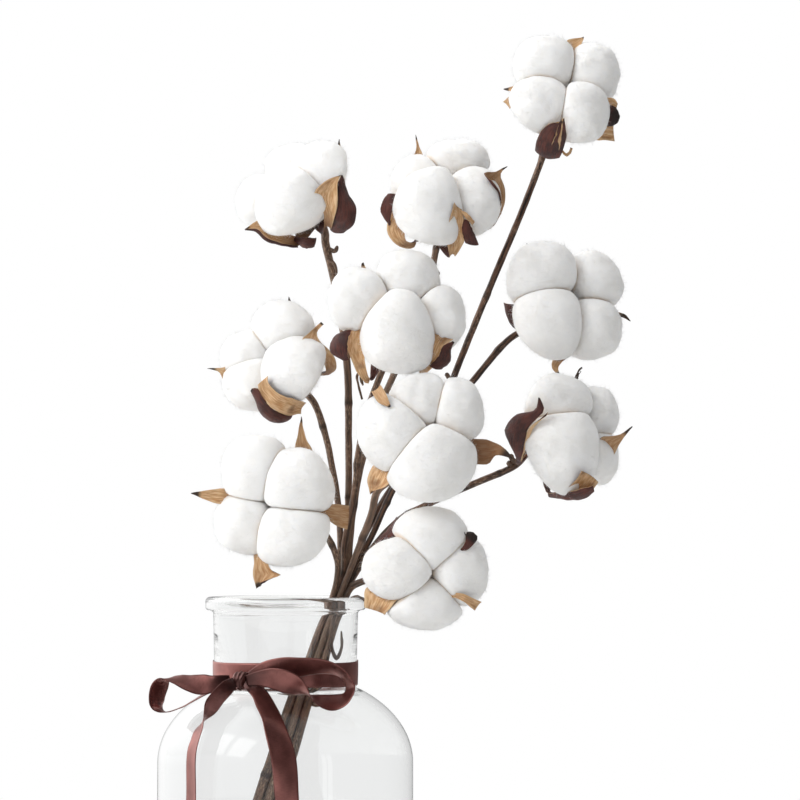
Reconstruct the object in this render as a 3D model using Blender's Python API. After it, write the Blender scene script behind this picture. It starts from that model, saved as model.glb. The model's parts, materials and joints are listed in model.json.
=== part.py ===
"""Cotton stem bunch: ten open cotton bolls on dry woody stems, standing in a clear glass
bottle vase with a satin ribbon tied in a bow round its neck.

The frame is +Z up with the origin at the centre of the vase's foot, and -Y is the front.
Lengths in this file are millimetres, and MM turns them into Blender's metres. Each stem is
one solid with the dry bur at its top, because the two grew as one piece. Each boll has four
locks of cotton, which are separate solids that sit in the bur.
"""

import math
from dataclasses import dataclass

import bmesh
import bpy
from mathutils import Matrix, Vector

MM = 0.001
TOUCH = 0.3                    # gap kept between solids that touch on the real thing

# Vase
BODY_R = 63.5                  # outer radius of the cylindrical body
SHOULDER_Z = 109.3             # where the body turns into the shoulder
SHOULDER_RISE = 44.5           # height of the shoulder's quarter ellipse
FOOT_CORNER = 25.0             # rounding between the foot and the body
FOOT_TOP_Z = 29.0              # where the foot's ring of glass meets the wall's
GLASS_GAP = 0.04               # hairline between the vase's rings of glass
NECK_FOOT_R = 35.8             # outer radius of the neck where it leaves the shoulder
NECK_TOP_R = 36.5              # outer radius of the neck under the rim
RIM_R = 39.9
RIM_BOTTOM_Z = 185.0
VASE_TOP_Z = 191.3
WALL = 2.6                     # wall thickness of the glass
FLOOR = 4.0                    # thickness of the glass under the stems
VASE_SIDES = 48

# Ribbon
RIBBON_W = 12.0
RIBBON_T = 0.7
BAND_BOTTOM_Z = 147.2
BAND_SIDES = 40
KNOT_AT = (-22.2, -33.3, 151.2)
KNOT_SIZE = (8.0, 5.0, 11.0)   # along the neck's surface, out from it, and up

# Bolls
BUR_DEPTH = 21.0               # from a boll's middle back to its bur's foot
BOWL = 0.023                   # rise of the bur per square millimetre of reach
BUR_T = 1.0                    # thickness of a bur's valves
RECEPTACLE_R = 3.8
CLEFT_SHARE = 0.42             # reach of the cleft between two valves, as a share
SIDE_SHARE = 0.66              # reach of a valve's shoulder, as a share
LOCK_POWER = 2.3               # exponent of a lock's rounded-box form
LOCK_OUT = 1.03                # growth of a lock on its outer side
LOCK_IN = 1.3                  # growth of a lock towards the middle, before it is pressed
STEM_SIDES = 8
CELL_DEPTH = 0.9               # row spacing of the bundle, as a share of its pitch


@dataclass(frozen=True)
class Lock:
    """One lock of cotton: its place round the boll, its half sizes and its forward push."""

    angle: float
    reach: float
    wide: float
    tall: float
    push: float = 0.0


@dataclass(frozen=True)
class Valve:
    """One pointed valve of the bur. Flare bends its tip away from the cotton."""

    angle: float
    reach: float
    flare: float


@dataclass(frozen=True)
class Boll:
    """A boll, which way it faces, and the stem that carries it down into the vase."""

    name: str
    at: tuple
    face: tuple                # degrees round +Z from the front, degrees up
    locks: tuple
    valves: tuple
    route: tuple               # stem points from behind the boll down to the bundle
    cell: tuple                # place in the bundle, in pitches from its middle
    joins: int = 0             # first level of the bundle that the stem reaches
    top_r: float = 1.5
    mid_r: float = 1.7


@dataclass(frozen=True)
class Level:
    """One height of the bundle where the stems run together down the vase."""

    x: float
    y: float
    z: float
    pitch: float
    radius: float


BUNDLE = (
    Level(30.5, 8.0, 205.0, 3.7, 1.55),
    Level(27.0, 8.0, 192.0, 3.5, 1.45),
    Level(20.3, 7.5, 177.0, 3.7, 1.55),
    Level(14.5, 7.0, 162.0, 4.2, 1.75),
    Level(8.5, 6.0, 144.5, 4.5, 1.9),
    Level(0.5, 4.0, 119.0, 5.0, 2.1),
    Level(-8.5, 2.0, 90.0, 5.4, 2.3),
    Level(-35.0, -1.0, 5.2, 5.6, 2.3),
)

BOLLS = (
    Boll("a", (139, -5, 444), (10, 20),
         (Lock(122, 18, 14, 13), Lock(35, 20, 12, 14), Lock(-69, 19, 12, 15, 4),
          Lock(-141, 19, 14, 13, 2)),
         (Valve(-110, 34, 0.3), Valve(-34, 31, 0.1), Valve(75, 34, 0.3), Valve(176, 31, 0.5)),
         ((130, 17, 416), (125, 17, 402), (118, 17, 384), (102, 16, 346), (85, 15, 304),
          (81, 15, 293), (65, 14, 265), (52, 13, 242), (43, 11, 222)),
         (1, 0.5)),
    Boll("b", (4, 10, 396), (-32, 32),
         (Lock(118, 20, 13, 10, -3), Lock(15, 20, 16, 16), Lock(-59, 17, 17, 18, 3),
          Lock(-158, 21, 10, 13)),
         (Valve(-137, 34, 0.3), Valve(-64, 27, 0.1), Valve(0, 28, 0.0), Valve(62, 35, 0.3)),
         ((19, 27, 371), (24, 26, 349), (30, 23, 310), (31, 19, 270), (31, 16, 240),
          (30, 14, 220)),
         (-0.5, 1.5), top_r=2.4, mid_r=2.0),
    Boll("c", (79, -5, 393), (2, 22),
         (Lock(67, 21, 14, 9, -2), Lock(-29, 18, 13, 17), Lock(-117, 19, 15, 21, 5),
          Lock(161, 16, 11, 12)),
         (Valve(-153, 32, 0.1), Valve(-75, 34, 0.1), Valve(23, 34, 0.3), Valve(111, 37, 0.4)),
         ((74, 17, 360), (70, 17, 341), (57, 16, 310), (44, 14, 280), (37, 13, 255),
          (33, 11, 230)),
         (0, 0.5)),
    Boll("d", (57, -25, 332), (5, 14),
         (Lock(75, 19, 14, 14, -3), Lock(-14, 22, 11, 15), Lock(-97, 18, 16, 20, 5),
          Lock(170, 25, 15, 15)),
         (Valve(-128, 36, 0.2), Valve(-56, 33, 0.1), Valve(29, 28, 0.3), Valve(124, 33, 0.3)),
         ((49, 0, 307), (41, 1, 285), (36, 3, 262), (35, 5, 250), (32, 6, 232), (29, 6, 217)),
         (-0.5, -0.5)),
    Boll("e", (140, 5, 338), (15, 10),
         (Lock(138, 23, 19, 15), Lock(38, 22, 13, 13, -2), Lock(-48, 21, 13, 15),
          Lock(-135, 19, 16, 17, 3)),
         (Valve(-171, 33, 0.4), Valve(-102, 37, 0.3), Valve(-11, 36, 0.4), Valve(121, 34, 0.3)),
         ((113, 27, 322), (93, 25, 299), (75, 22, 278), (57, 19, 252), (46, 17, 235),
          (37, 15, 217)),
         (0.5, 1.5)),
    Boll("f", (-7, -5, 308), (-25, 18),
         (Lock(77, 20, 15, 13, -2), Lock(-23, 23, 16, 15, 4), Lock(-126, 16, 13, 12),
          Lock(172, 15, 12, 12)),
         (Valve(-180, 37, 0.5), Valve(-75, 34, 0.1), Valve(-5, 34, 0.1), Valve(83, 34, 0.3)),
         ((14, 15, 288), (20, 14, 270), (23, 13, 255), (26, 11, 237), (27, 9, 220)),
         (-1, 0.5), top_r=1.8),
    Boll("g", (69, -45, 274), (0, 4),
         (Lock(101, 14, 13, 13), Lock(28, 19, 12, 14), Lock(-81, 21, 19, 19, 4),
          Lock(-170, 17, 17, 17, 2)),
         (Valve(-126, 36, 0.2), Valve(-19, 44, 0.5), Valve(62, 27, 0.3), Valve(137, 28, 0.1)),
         ((56, -17, 252), (46, -12, 244), (43, -6, 233), (38, 0, 220), (33, 3, 207)),
         (0, -1.5), joins=1, top_r=1.9, mid_r=2.0),
    Boll("h", (-4, -35, 238), (-12, 0),
         (Lock(119, 20, 15, 17), Lock(35, 18, 17, 15, 2), Lock(-56, 21, 17, 14, 3),
          Lock(-145, 19, 14, 14)),
         (Valve(-100, 40, 0.3), Valve(-9, 38, 0.2), Valve(71, 42, 0.4), Valve(172, 42, 0.5)),
         ((13, -10, 229), (21, -5, 221), (25, -1, 212), (26, 2, 205)),
         (-1, -1.5), joins=1),
    Boll("i", (143, -10, 273), (28, 4),
         (Lock(134, 22, 18, 12), Lock(33, 19, 9, 12, -2), Lock(-44, 20, 9, 13, -2),
          Lock(-140, 19, 16, 21, 4)),
         (Valve(-96, 33, 0.2), Valve(5, 35, 0.4), Valve(80, 33, 0.3), Valve(179, 34, 0.1)),
         ((115, 11, 257), (97, 11, 249), (83, 10, 243), (70, 10, 237), (57, 9, 230),
          (46, 8, 219), (38, 7, 208)),
         (0.5, -0.5), joins=1),
    Boll("j", (70, -40, 205), (8, 0),
         (Lock(84, 16, 16, 16), Lock(-1, 16, 14, 15), Lock(-96, 17, 17, 12),
          Lock(178, 17, 17, 13, 3)),
         (Valve(-138, 30, 0.2), Valve(-37, 29, 0.2), Valve(32, 28, 0.1), Valve(145, 28, 0.1)),
         ((55, -11, 206), (46, -6, 202), (39, -1, 199), (33, 2, 196)),
         (1, -1.5), joins=1, top_r=1.8),
)

# Ribbon strips: a centre line, and the way that the ribbon's width points at each place.
STRIPS = {
    "ribbon_loop_right": (
        ((-18.6, -37.9, 152.2), (0, 0, 1)), ((-10.0, -43.2, 153.6), (0.1, 0.1, 1)),
        ((1.5, -47.0, 156.0), (0, 0.5, 0.85)), ((11.2, -48.5, 158.5), (0, 0.85, 0.5)),
        ((20.8, -47.5, 159.0), (0, 0.87, 0.5)), ((29.0, -45.5, 156.4), (0, 0.9, 0.45)),
        ((33.8, -43.5, 150.0), (0.1, 1, 0.3)), ((32.8, -43.0, 143.7), (0.1, 1, 0.3)),
        ((26.0, -43.5, 140.8), (0, 0.9, 0.45)), ((18.3, -44.5, 143.2), (0, 0.9, 0.3)),
        ((11.0, -45.0, 146.1), (0, 1, 0.2)), ((0.0, -43.4, 147.4), (0, 0.8, 0.6)),
        ((-9.0, -40.7, 148.0), (0.1, 0.3, 0.95)), ((-16.6, -37.2, 149.2), (0, 0.1, 1))),
    "ribbon_loop_left": (
        ((-26.4, -32.7, 152.2), (0, 0, 1)), ((-34.0, -33.5, 151.2), (0, 0.5, 0.85)),
        ((-43.5, -33.5, 150.8), (0, 0.9, 0.45)), ((-52.4, -32.0, 151.4), (0, 0.9, 0.45)),
        ((-60.3, -30.0, 150.3), (0.3, 0.6, 0.7)), ((-64.0, -29.0, 146.4), (0.5, 0.4, 0.7)),
        ((-61.2, -29.0, 140.8), (0.3, 0.8, 0.5)), ((-54.3, -29.5, 138.9), (0, 1, 0.2)),
        ((-45.4, -29.8, 141.2), (0, 1, 0.1)), ((-36.5, -30.8, 145.4), (0, 0.9, 0.4)),
        ((-28.8, -32.0, 148.6), (0.2, 0.2, 0.95))),
    "ribbon_tail_right": (
        ((-18.4, -41.7, 145.4), (0.8, -0.5, 0.3)), ((-11.0, -48.2, 141.4), (0.9, -0.3, 0.1)),
        ((-5.5, -52.0, 138.7), (0.95, -0.2, 0.1)), ((-2.4, -59.6, 131.2), (0.9, -0.4, 0)),
        ((-0.7, -65.2, 120.5), (0.85, -0.4, 0)), ((1.8, -67.3, 106.4), (0.9, -0.4, 0)),
        ((3.7, -67.0, 92.2), (0.95, -0.3, 0)), ((5.6, -66.2, 68.0), (0.97, -0.2, 0)),
        ((7.0, -65.6, 46.0), (0.98, -0.1, 0))),
    "ribbon_tail_left": (
        ((-26.6, -38.5, 148.5), (-0.4, 0.1, -0.9)), ((-31.0, -41.5, 143.4), (-0.7, 0.3, -0.5)),
        ((-36.5, -44.5, 136.9), (-0.7, 0.7, -0.1)), ((-39.6, -49.0, 129.4), (-0.6, 0.8, 0)),
        ((-40.8, -52.4, 120.4), (-0.5, 0.86, 0)), ((-41.6, -53.2, 106.1), (-0.45, 0.9, 0)),
        ((-42.4, -52.9, 92.7), (-0.4, 0.9, 0)), ((-43.4, -52.0, 70.0), (-0.5, 0.86, 0)),
        ((-44.4, -50.8, 52.0), (-0.6, 0.8, 0))),
}


def clear_scene():
    """Remove every object that the start-up file brings."""
    for obj in list(bpy.data.objects):
        bpy.data.objects.remove(obj, do_unlink=True)


def finish_material(name, colour, roughness, transmission=0.0, sheen=0.0):
    """A Principled material for one object."""
    mat = bpy.data.materials.new(name)
    mat.use_nodes = True
    mat.diffuse_color = (*colour, 1.0)
    shader = mat.node_tree.nodes["Principled BSDF"]
    shader.inputs["Base Color"].default_value = (*colour, 1.0)
    shader.inputs["Roughness"].default_value = roughness
    shader.inputs["Metallic"].default_value = 0.0
    shader.inputs["Transmission Weight"].default_value = transmission
    shader.inputs["Sheen Weight"].default_value = sheen
    return mat


def glass(name):
    """Clear colourless glass."""
    return finish_material(name, (0.95, 0.97, 0.97), 0.03, transmission=1.0)


def satin(name):
    """Dusky brown-mauve satin ribbon."""
    return finish_material(name, (0.16, 0.055, 0.05), 0.38, sheen=0.3)


def bark(name):
    """Dry dark brown stem and bur."""
    return finish_material(name, (0.1, 0.055, 0.035), 0.75)


def cotton(name):
    """Matte white cotton."""
    return finish_material(name, (0.9, 0.9, 0.88), 0.95, sheen=0.6)


def add_solid(name, points, faces, finish, smooth=40.0):
    """Make one closed object from points in millimetres, with its faces turned outwards."""
    mesh = bpy.data.meshes.new(name)
    mesh.from_pydata([Vector(p) * MM for p in points], [], faces)
    bm = bmesh.new()
    bm.from_mesh(mesh)
    bmesh.ops.recalc_face_normals(bm, faces=bm.faces)
    bmesh.ops.triangulate(bm, faces=[f for f in bm.faces if len(f.verts) > 3])
    bm.to_mesh(mesh)
    bm.free()
    mesh.shade_smooth()
    mesh.set_sharp_from_angle(angle=math.radians(smooth))
    mesh.materials.append(finish(name))
    obj = bpy.data.objects.new(name, mesh)
    bpy.context.scene.collection.objects.link(obj)
    return obj


def arc(centre, radii, start, stop, steps):
    """Points along an ellipse's arc in the (radius, height) plane, both ends included."""
    out = []
    for k in range(steps + 1):
        turn = math.radians(start + (stop - start) * k / steps)
        out.append((centre[0] + radii[0] * math.cos(turn),
                    centre[1] + radii[1] * math.sin(turn)))
    return out


def lathe(name, profile, sides, finish):
    """Turn a closed or axis-to-axis profile of (radius, height) round Z into one solid."""
    points, rings = [], []
    for radius, height in profile:
        if radius < 1e-6:
            rings.append([len(points)])
            points.append((0.0, 0.0, height))
            continue
        rings.append([len(points) + k for k in range(sides)])
        for k in range(sides):
            turn = 2.0 * math.pi * k / sides
            points.append((radius * math.cos(turn), radius * math.sin(turn), height))
    closed = profile[0][0] > 1e-6
    pairs = list(zip(rings, rings[1:])) + ([(rings[-1], rings[0])] if closed else [])
    faces = []
    for low, high in pairs:
        faces += band_faces(low, high)
    return add_solid(name, points, faces, finish)


def band_faces(first, second):
    """Faces between two rings: equal counts, a pole, or one ring with twice the points."""
    if len(first) > len(second):
        first, second = second, first
    few, many = len(first), len(second)
    faces = []
    for k in range(many):
        nxt = (k + 1) % many
        if few == 1:
            faces.append((first[0], second[k], second[nxt]))
        elif few == many:
            faces.append((first[k], first[nxt], second[nxt], second[k]))
        elif k % 2 == 0:
            faces.append((first[k // 2], second[nxt], second[k]))
        else:
            here, there = first[k // 2], first[(k // 2 + 1) % few]
            faces.append((here, there, second[nxt], second[k]))
    return faces


def neck_radius(z):
    """Outer radius of the vase's neck at one height."""
    low, high = BAND_BOTTOM_Z, RIM_BOTTOM_Z
    share = min(max((z - low) / (high - low), 0.0), 1.0)
    return NECK_FOOT_R + (NECK_TOP_R - NECK_FOOT_R) * share


def shoulder_turn(radius, wide):
    """Angle on the shoulder's ellipse where it is as narrow as the neck."""
    return math.degrees(math.acos(radius / wide))


def build_vase():
    """The bottle vase in four rings of glass: its foot, wall, domed shoulder and neck."""
    inner_r = BODY_R - WALL
    inner_corner = FOOT_CORNER - WALL
    neck_bore = NECK_TOP_R - WALL
    foot = [(0.0, 0.0)]
    foot += arc((BODY_R - FOOT_CORNER, FOOT_CORNER), (FOOT_CORNER, FOOT_CORNER), -90, 0, 5)
    foot += [(BODY_R, FOOT_TOP_Z), (inner_r, FOOT_TOP_Z)]
    foot += list(reversed(arc((inner_r - inner_corner, inner_corner + FLOOR),
                              (inner_corner, inner_corner), -90, 0, 5)))
    foot += [(0.0, FLOOR)]
    lathe("vase_foot", foot, VASE_SIDES, glass)

    wall = [(BODY_R, FOOT_TOP_Z + GLASS_GAP), (BODY_R, SHOULDER_Z - GLASS_GAP),
            (inner_r, SHOULDER_Z - GLASS_GAP), (inner_r, FOOT_TOP_Z + GLASS_GAP)]
    lathe("vase_wall", wall, VASE_SIDES, glass)

    shoulder = arc((0.0, SHOULDER_Z), (BODY_R, SHOULDER_RISE),
                   0, shoulder_turn(NECK_FOOT_R, BODY_R), 6)
    neck_z = shoulder[-1][1]
    bore_foot = NECK_FOOT_R - WALL
    shoulder += [(bore_foot, neck_z)]
    shoulder += list(reversed(arc((0.0, SHOULDER_Z), (inner_r, SHOULDER_RISE - WALL),
                                  0, shoulder_turn(bore_foot, inner_r), 6)))
    lathe("vase_shoulder", shoulder, VASE_SIDES, glass)

    neck = [(NECK_FOOT_R, neck_z + GLASS_GAP), (NECK_TOP_R, RIM_BOTTOM_Z - 0.6),
            (RIM_R - 0.9, RIM_BOTTOM_Z), (RIM_R, 186.2)]
    neck += arc((RIM_R - 2.0, VASE_TOP_Z - 2.0), (2.0, 2.0), 0, 90, 2)
    neck += arc((neck_bore + 2.0, VASE_TOP_Z - 2.0), (2.0, 2.0), 90, 180, 2)
    neck += [(bore_foot, neck_z + GLASS_GAP)]
    lathe("vase_neck", neck, VASE_SIDES, glass)


def build_band():
    """The ribbon's turn round the neck, following its slight taper."""
    top_z = BAND_BOTTOM_Z + RIBBON_W
    low_r = neck_radius(BAND_BOTTOM_Z) + TOUCH + 0.15
    top_r = neck_radius(top_z) + TOUCH + 0.15
    profile = [(low_r + RIBBON_T, BAND_BOTTOM_Z), (top_r + RIBBON_T, top_z),
               (top_r, top_z), (low_r, BAND_BOTTOM_Z)]
    return lathe("ribbon_band", profile, BAND_SIDES, satin)


def build_knot():
    """The bow's knot, a small rounded wrap against the band."""
    ball = bmesh.new()
    bmesh.ops.create_uvsphere(ball, u_segments=12, v_segments=8, radius=0.5)
    out = Vector((KNOT_AT[0], KNOT_AT[1], 0.0)).normalized()
    along = Vector((-out.y, out.x, 0.0))
    points = []
    for vert in ball.verts:
        box = [math.copysign(abs(2.0 * c) ** 0.7, c) / 2.0 for c in vert.co]
        spot = along * box[0] * KNOT_SIZE[0] + out * box[1] * KNOT_SIZE[1]
        points.append(Vector(KNOT_AT) + spot + Vector((0, 0, box[2] * KNOT_SIZE[2])))
    faces = [[v.index for v in f.verts] for f in ball.faces]
    ball.free()
    return add_solid("ribbon_knot", points, faces, satin)


def build_strip(name, stations):
    """A length of ribbon: a thin strip swept along its centre line."""
    centres = [Vector(place) for place, _ in stations]
    points = []
    for k, (place, width_way) in enumerate(stations):
        before, after = centres[max(k - 1, 0)], centres[min(k + 1, len(centres) - 1)]
        tangent = (after - before).normalized()
        across = Vector(width_way)
        across = (across - tangent * across.dot(tangent)).normalized()
        normal = tangent.cross(across)
        for side, face in ((-1, -1), (1, -1), (1, 1), (-1, 1)):
            points.append(Vector(place) + across * side * RIBBON_W / 2
                          + normal * face * RIBBON_T / 2)
    faces = [(0, 1, 2, 3)]
    for k in range(len(stations) - 1):
        for c in range(4):
            nxt = (c + 1) % 4
            faces.append((4 * k + c, 4 * k + nxt, 4 * k + 4 + nxt, 4 * k + 4 + c))
    last = 4 * (len(stations) - 1)
    faces.append((last + 3, last + 2, last + 1, last))
    return add_solid(name, points, faces, satin)


def boll_axes(boll):
    """A boll's right, up and facing directions, and its middle."""
    turn, lift = (math.radians(d) for d in boll.face)
    facing = Vector((math.sin(turn) * math.cos(lift), -math.cos(turn) * math.cos(lift),
                     math.sin(lift)))
    right = Vector((math.cos(turn), math.sin(turn), 0.0))
    return right, facing.cross(right), facing, Vector(boll.at)


def in_boll(boll, x, y, depth):
    """A point given in a boll's own axes, in the part's frame."""
    right, up, facing, middle = boll_axes(boll)
    return middle + right * x + up * y + facing * depth


def bowl_depth(reach):
    """Depth of the bur's outer surface at one reach from the boll's axis."""
    return -BUR_DEPTH + BOWL * reach * reach


def wall_rise(reach):
    """How far the bur's inner surface lies in front of its outer one."""
    return BUR_T * math.hypot(1.0, 2.0 * BOWL * reach)


def valve_columns(valves):
    """Sixteen directions round a bur: each valve's tip, its two shoulders and its clefts."""
    columns = []
    for k, valve in enumerate(valves):
        nxt = valves[(k + 1) % len(valves)]
        gap = (nxt.angle - valve.angle) % 360.0
        for part in range(4):
            share = part / 4.0
            reach = valve.reach + (nxt.reach - valve.reach) * share
            flare = valve.flare + (nxt.flare - valve.flare) * share
            cut = (1.0, SIDE_SHARE, CLEFT_SHARE, SIDE_SHARE)[part]
            columns.append((math.radians(valve.angle + gap * share), reach * cut, reach, flare))
    return columns


def bur_rings(boll):
    """The bur's rings of sixteen points: out along its outer face, back along its inner."""
    columns = valve_columns(boll.valves)
    outer, inner = [], []
    for share in (0.0, 0.33, 0.68, 1.0):
        low, high = [], []
        for turn, edge, tip, flare in columns:
            reach = RECEPTACLE_R + (edge - RECEPTACLE_R) * share
            droop = flare * BOWL * reach * reach * (reach / tip) ** 2
            depth = bowl_depth(reach) - droop
            spot = (reach * math.cos(turn), reach * math.sin(turn))
            low.append(in_boll(boll, *spot, depth))
            high.append(in_boll(boll, *spot, depth + wall_rise(reach)))
        outer.append(low)
        inner.append(high)
    return outer + list(reversed(inner[1:]))


def soften(start, corner, after):
    """Two points that round off the corner where a stem turns down behind its boll."""
    return [corner * 0.55 + start * 0.45, corner * 0.6 + after * 0.4]


def stem_line(boll):
    """Centre line and radii of a stem, from the bur's foot down to the vase's floor."""
    start = in_boll(boll, 0, 0, -BUR_DEPTH - 3.5)
    lead = in_boll(boll, 0, 0, -BUR_DEPTH - 11.0)
    levels = BUNDLE[boll.joins:]
    bundle = [Vector((lv.x + boll.cell[0] * lv.pitch,
                      lv.y + boll.cell[1] * lv.pitch * CELL_DEPTH, lv.z)) for lv in levels]
    route = [Vector(p) for p in boll.route]
    upper = [start, *soften(start, lead, route[0]), *route, bundle[0]]
    radii = []
    for k in range(len(upper)):
        share = k / (len(upper) - 1)
        if share < 0.5:
            radii.append(boll.top_r + (boll.mid_r - boll.top_r) * share * 2)
        else:
            radii.append(boll.mid_r + (levels[0].radius - boll.mid_r) * (share * 2 - 1))
    return upper + bundle[1:], radii + [lv.radius for lv in levels[1:]]


def tube_rings(line, radii, first_across):
    """Rings of points round a line, turned as little as possible from one to the next."""
    rings, across = [], first_across
    for k, (spot, radius) in enumerate(zip(line, radii)):
        tangent = (line[min(k + 1, len(line) - 1)] - line[max(k - 1, 0)]).normalized()
        across = (across - tangent * across.dot(tangent)).normalized()
        other = tangent.cross(across)
        rings.append([spot + (across * math.cos(a) + other * math.sin(a)) * radius
                      for a in (2 * math.pi * s / STEM_SIDES for s in range(STEM_SIDES))])
    return rings


def build_stem(boll):
    """One stem with its bur: a closed loft from the cut end up to the middle of the bur."""
    line, radii = stem_line(boll)
    first = math.radians(boll.valves[0].angle)
    across = in_boll(boll, math.cos(first), math.sin(first), 0) - Vector(boll.at)
    tube = tube_rings(line, radii, across)
    facing = boll_axes(boll)[2]
    # The loft runs up the stem, so its rings turn the same way as the bur's columns.
    tube = [[ring[-s % STEM_SIDES] for s in range(STEM_SIDES)] for ring in reversed(tube)]
    stack = [[line[-1]], *tube, *bur_rings(boll),
             [Vector(boll.at) + facing * (bowl_depth(0) + BUR_T)]]
    points, rings = [], []
    for ring in stack:
        rings.append(list(range(len(points), len(points) + len(ring))))
        points += ring
    faces = []
    for low, high in zip(rings, rings[1:]):
        faces += band_faces(low, high)
    return add_solid(f"stem_{boll.name}", points, faces, bark)


def lock_middle(lock):
    """A lock's middle in its boll's own axes."""
    turn = math.radians(lock.angle)
    return Vector((lock.reach * math.cos(turn), lock.reach * math.sin(turn), lock.push))


def lock_reach(lock, way):
    """Distance from a lock's middle to its surface in one direction, before it is pressed."""
    deep = (lock.wide + lock.tall) / 2
    total = sum(abs(c / size) ** LOCK_POWER for c, size in zip(way, (lock.wide, lock.tall, deep)))
    turn = math.radians(lock.angle)
    inward = 0.5 - 0.5 * (way[0] * math.cos(turn) + way[1] * math.sin(turn))
    return (LOCK_OUT + (LOCK_IN - LOCK_OUT) * inward) * total ** (-1.0 / LOCK_POWER)


def seam_plane(lock, other):
    """The flat seam where a lock presses on its neighbour: a point and its outward normal."""
    middle, far = lock_middle(lock), lock_middle(other)
    way = (far - middle).normalized()
    mine, theirs = lock_reach(lock, way), lock_reach(other, -way)
    share = mine / (mine + theirs)
    return middle + (far - middle) * share - way * TOUCH / 2, way


def above_bur(spot):
    """True where a point in a boll's axes lies in front of the bur's inner surface."""
    reach = math.hypot(spot.x, spot.y)
    return spot.z > bowl_depth(reach) + wall_rise(reach) + 2 * TOUCH


def build_lock(boll, index):
    """One lock of cotton: a rounded form pressed flat on its neighbours and on the bur."""
    lock = boll.locks[index]
    middle = lock_middle(lock)
    seams = [seam_plane(lock, other) for k, other in enumerate(boll.locks) if k != index]
    ball = bmesh.new()
    bmesh.ops.create_icosphere(ball, subdivisions=2, radius=1.0)
    points = []
    for vert in ball.verts:
        way = vert.co.normalized()
        reach = lock_reach(lock, way)
        for spot, normal in seams:
            lean = way.dot(normal)
            if lean > 1e-6:
                reach = min(reach, (spot - middle).dot(normal) / lean)
        while not above_bur(middle + way * reach):
            reach *= 0.985
        spot = middle + way * reach
        points.append(in_boll(boll, *spot))
    faces = [[v.index for v in f.verts] for f in ball.faces]
    ball.free()
    return add_solid(f"cotton_{boll.name}_{index + 1}", points, faces, cotton)


def main():
    clear_scene()
    build_vase()
    build_band()
    build_knot()
    for name, stations in STRIPS.items():
        build_strip(name, stations)
    for boll in BOLLS:
        build_stem(boll)
        for index in range(len(boll.locks)):
            build_lock(boll, index)


main()
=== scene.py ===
"""Looks of the cotton stem bunch: cotton, burs, stems, ribbon, glass, studio and camera.

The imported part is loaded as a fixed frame, with +Z up, -Y to the front and the origin at the
centre of the vase's foot. Design lengths here are millimetres, and MM turns them into the
metres that the frame and Blender use. Every visible piece stands for a node of the part, and
its route and sizes repeat the ones that the part is built from.
"""

from __future__ import annotations

import json
import logging
import math
import random
from collections.abc import Callable, Iterable
from dataclasses import dataclass, field
from enum import Enum

import bmesh
import bpy
import numpy as np
from bpy.types import Material, NodeSocket, NodeTree, Object
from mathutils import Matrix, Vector, noise

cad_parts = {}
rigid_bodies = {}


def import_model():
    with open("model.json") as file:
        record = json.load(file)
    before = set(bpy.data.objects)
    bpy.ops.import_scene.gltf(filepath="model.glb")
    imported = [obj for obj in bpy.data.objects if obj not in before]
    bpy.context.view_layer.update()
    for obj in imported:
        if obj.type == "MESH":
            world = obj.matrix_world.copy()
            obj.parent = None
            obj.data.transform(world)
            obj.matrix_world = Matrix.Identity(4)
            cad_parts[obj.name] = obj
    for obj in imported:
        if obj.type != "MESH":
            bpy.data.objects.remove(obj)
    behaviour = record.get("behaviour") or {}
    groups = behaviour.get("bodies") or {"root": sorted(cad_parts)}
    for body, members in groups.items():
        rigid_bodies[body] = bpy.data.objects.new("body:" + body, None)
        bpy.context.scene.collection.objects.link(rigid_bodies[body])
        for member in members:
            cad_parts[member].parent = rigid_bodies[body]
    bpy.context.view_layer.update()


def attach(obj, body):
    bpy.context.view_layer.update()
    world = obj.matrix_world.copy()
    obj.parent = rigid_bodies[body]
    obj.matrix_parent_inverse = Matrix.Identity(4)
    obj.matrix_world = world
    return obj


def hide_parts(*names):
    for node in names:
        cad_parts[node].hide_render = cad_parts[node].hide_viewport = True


LOG = logging.getLogger("cotton_bunch")
MM = 0.001
BODY = "root"
MID_UV = (0.5, 0.5)            # UV of faces without a pattern
WELD = 1e-6                    # points closer than this become one, in metres
CURVE_STEPS = 12               # samples between two places before a curve is spaced evenly
V_UNIT = 10.0                  # length of a stem or a blade that v counts as one, in millimetres


# ---------------------------------------------------------------- design of the bunch

@dataclass(frozen=True)
class Lock:
    """One lock of cotton: its place round the boll, its half sizes and its forward push."""

    angle: float
    reach: float
    wide: float
    tall: float
    push: float = 0.0

    def middle(self) -> np.ndarray:
        """Middle of the lock in its boll's own axes."""
        turn = math.radians(self.angle)
        return np.array([self.reach * math.cos(turn), self.reach * math.sin(turn), self.push])


class Side(Enum):
    """The face of a blade that is turned to the front."""

    INNER = "inner"
    OUTER = "outer"


@dataclass(frozen=True)
class Blade:
    """A part of a valve of the bur, between two edges that run to its end.

    Each edge is a row of places (right, up, forward) from the boll's middle, in millimetres.
    Root is the angle at which the blade grows from the cup behind the cotton, or None for a
    lobe that is folded over from its neighbour. Dark is the length of the blackened end. Tone
    is 0 for the usual tan, 1 for brown and below 0 for paler.
    """

    side: Side
    first: tuple
    second: tuple
    root: float | None = None
    dark: float = 1.2
    tone: float = 0.0


IN, OUT = Side.INNER, Side.OUTER


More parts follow.
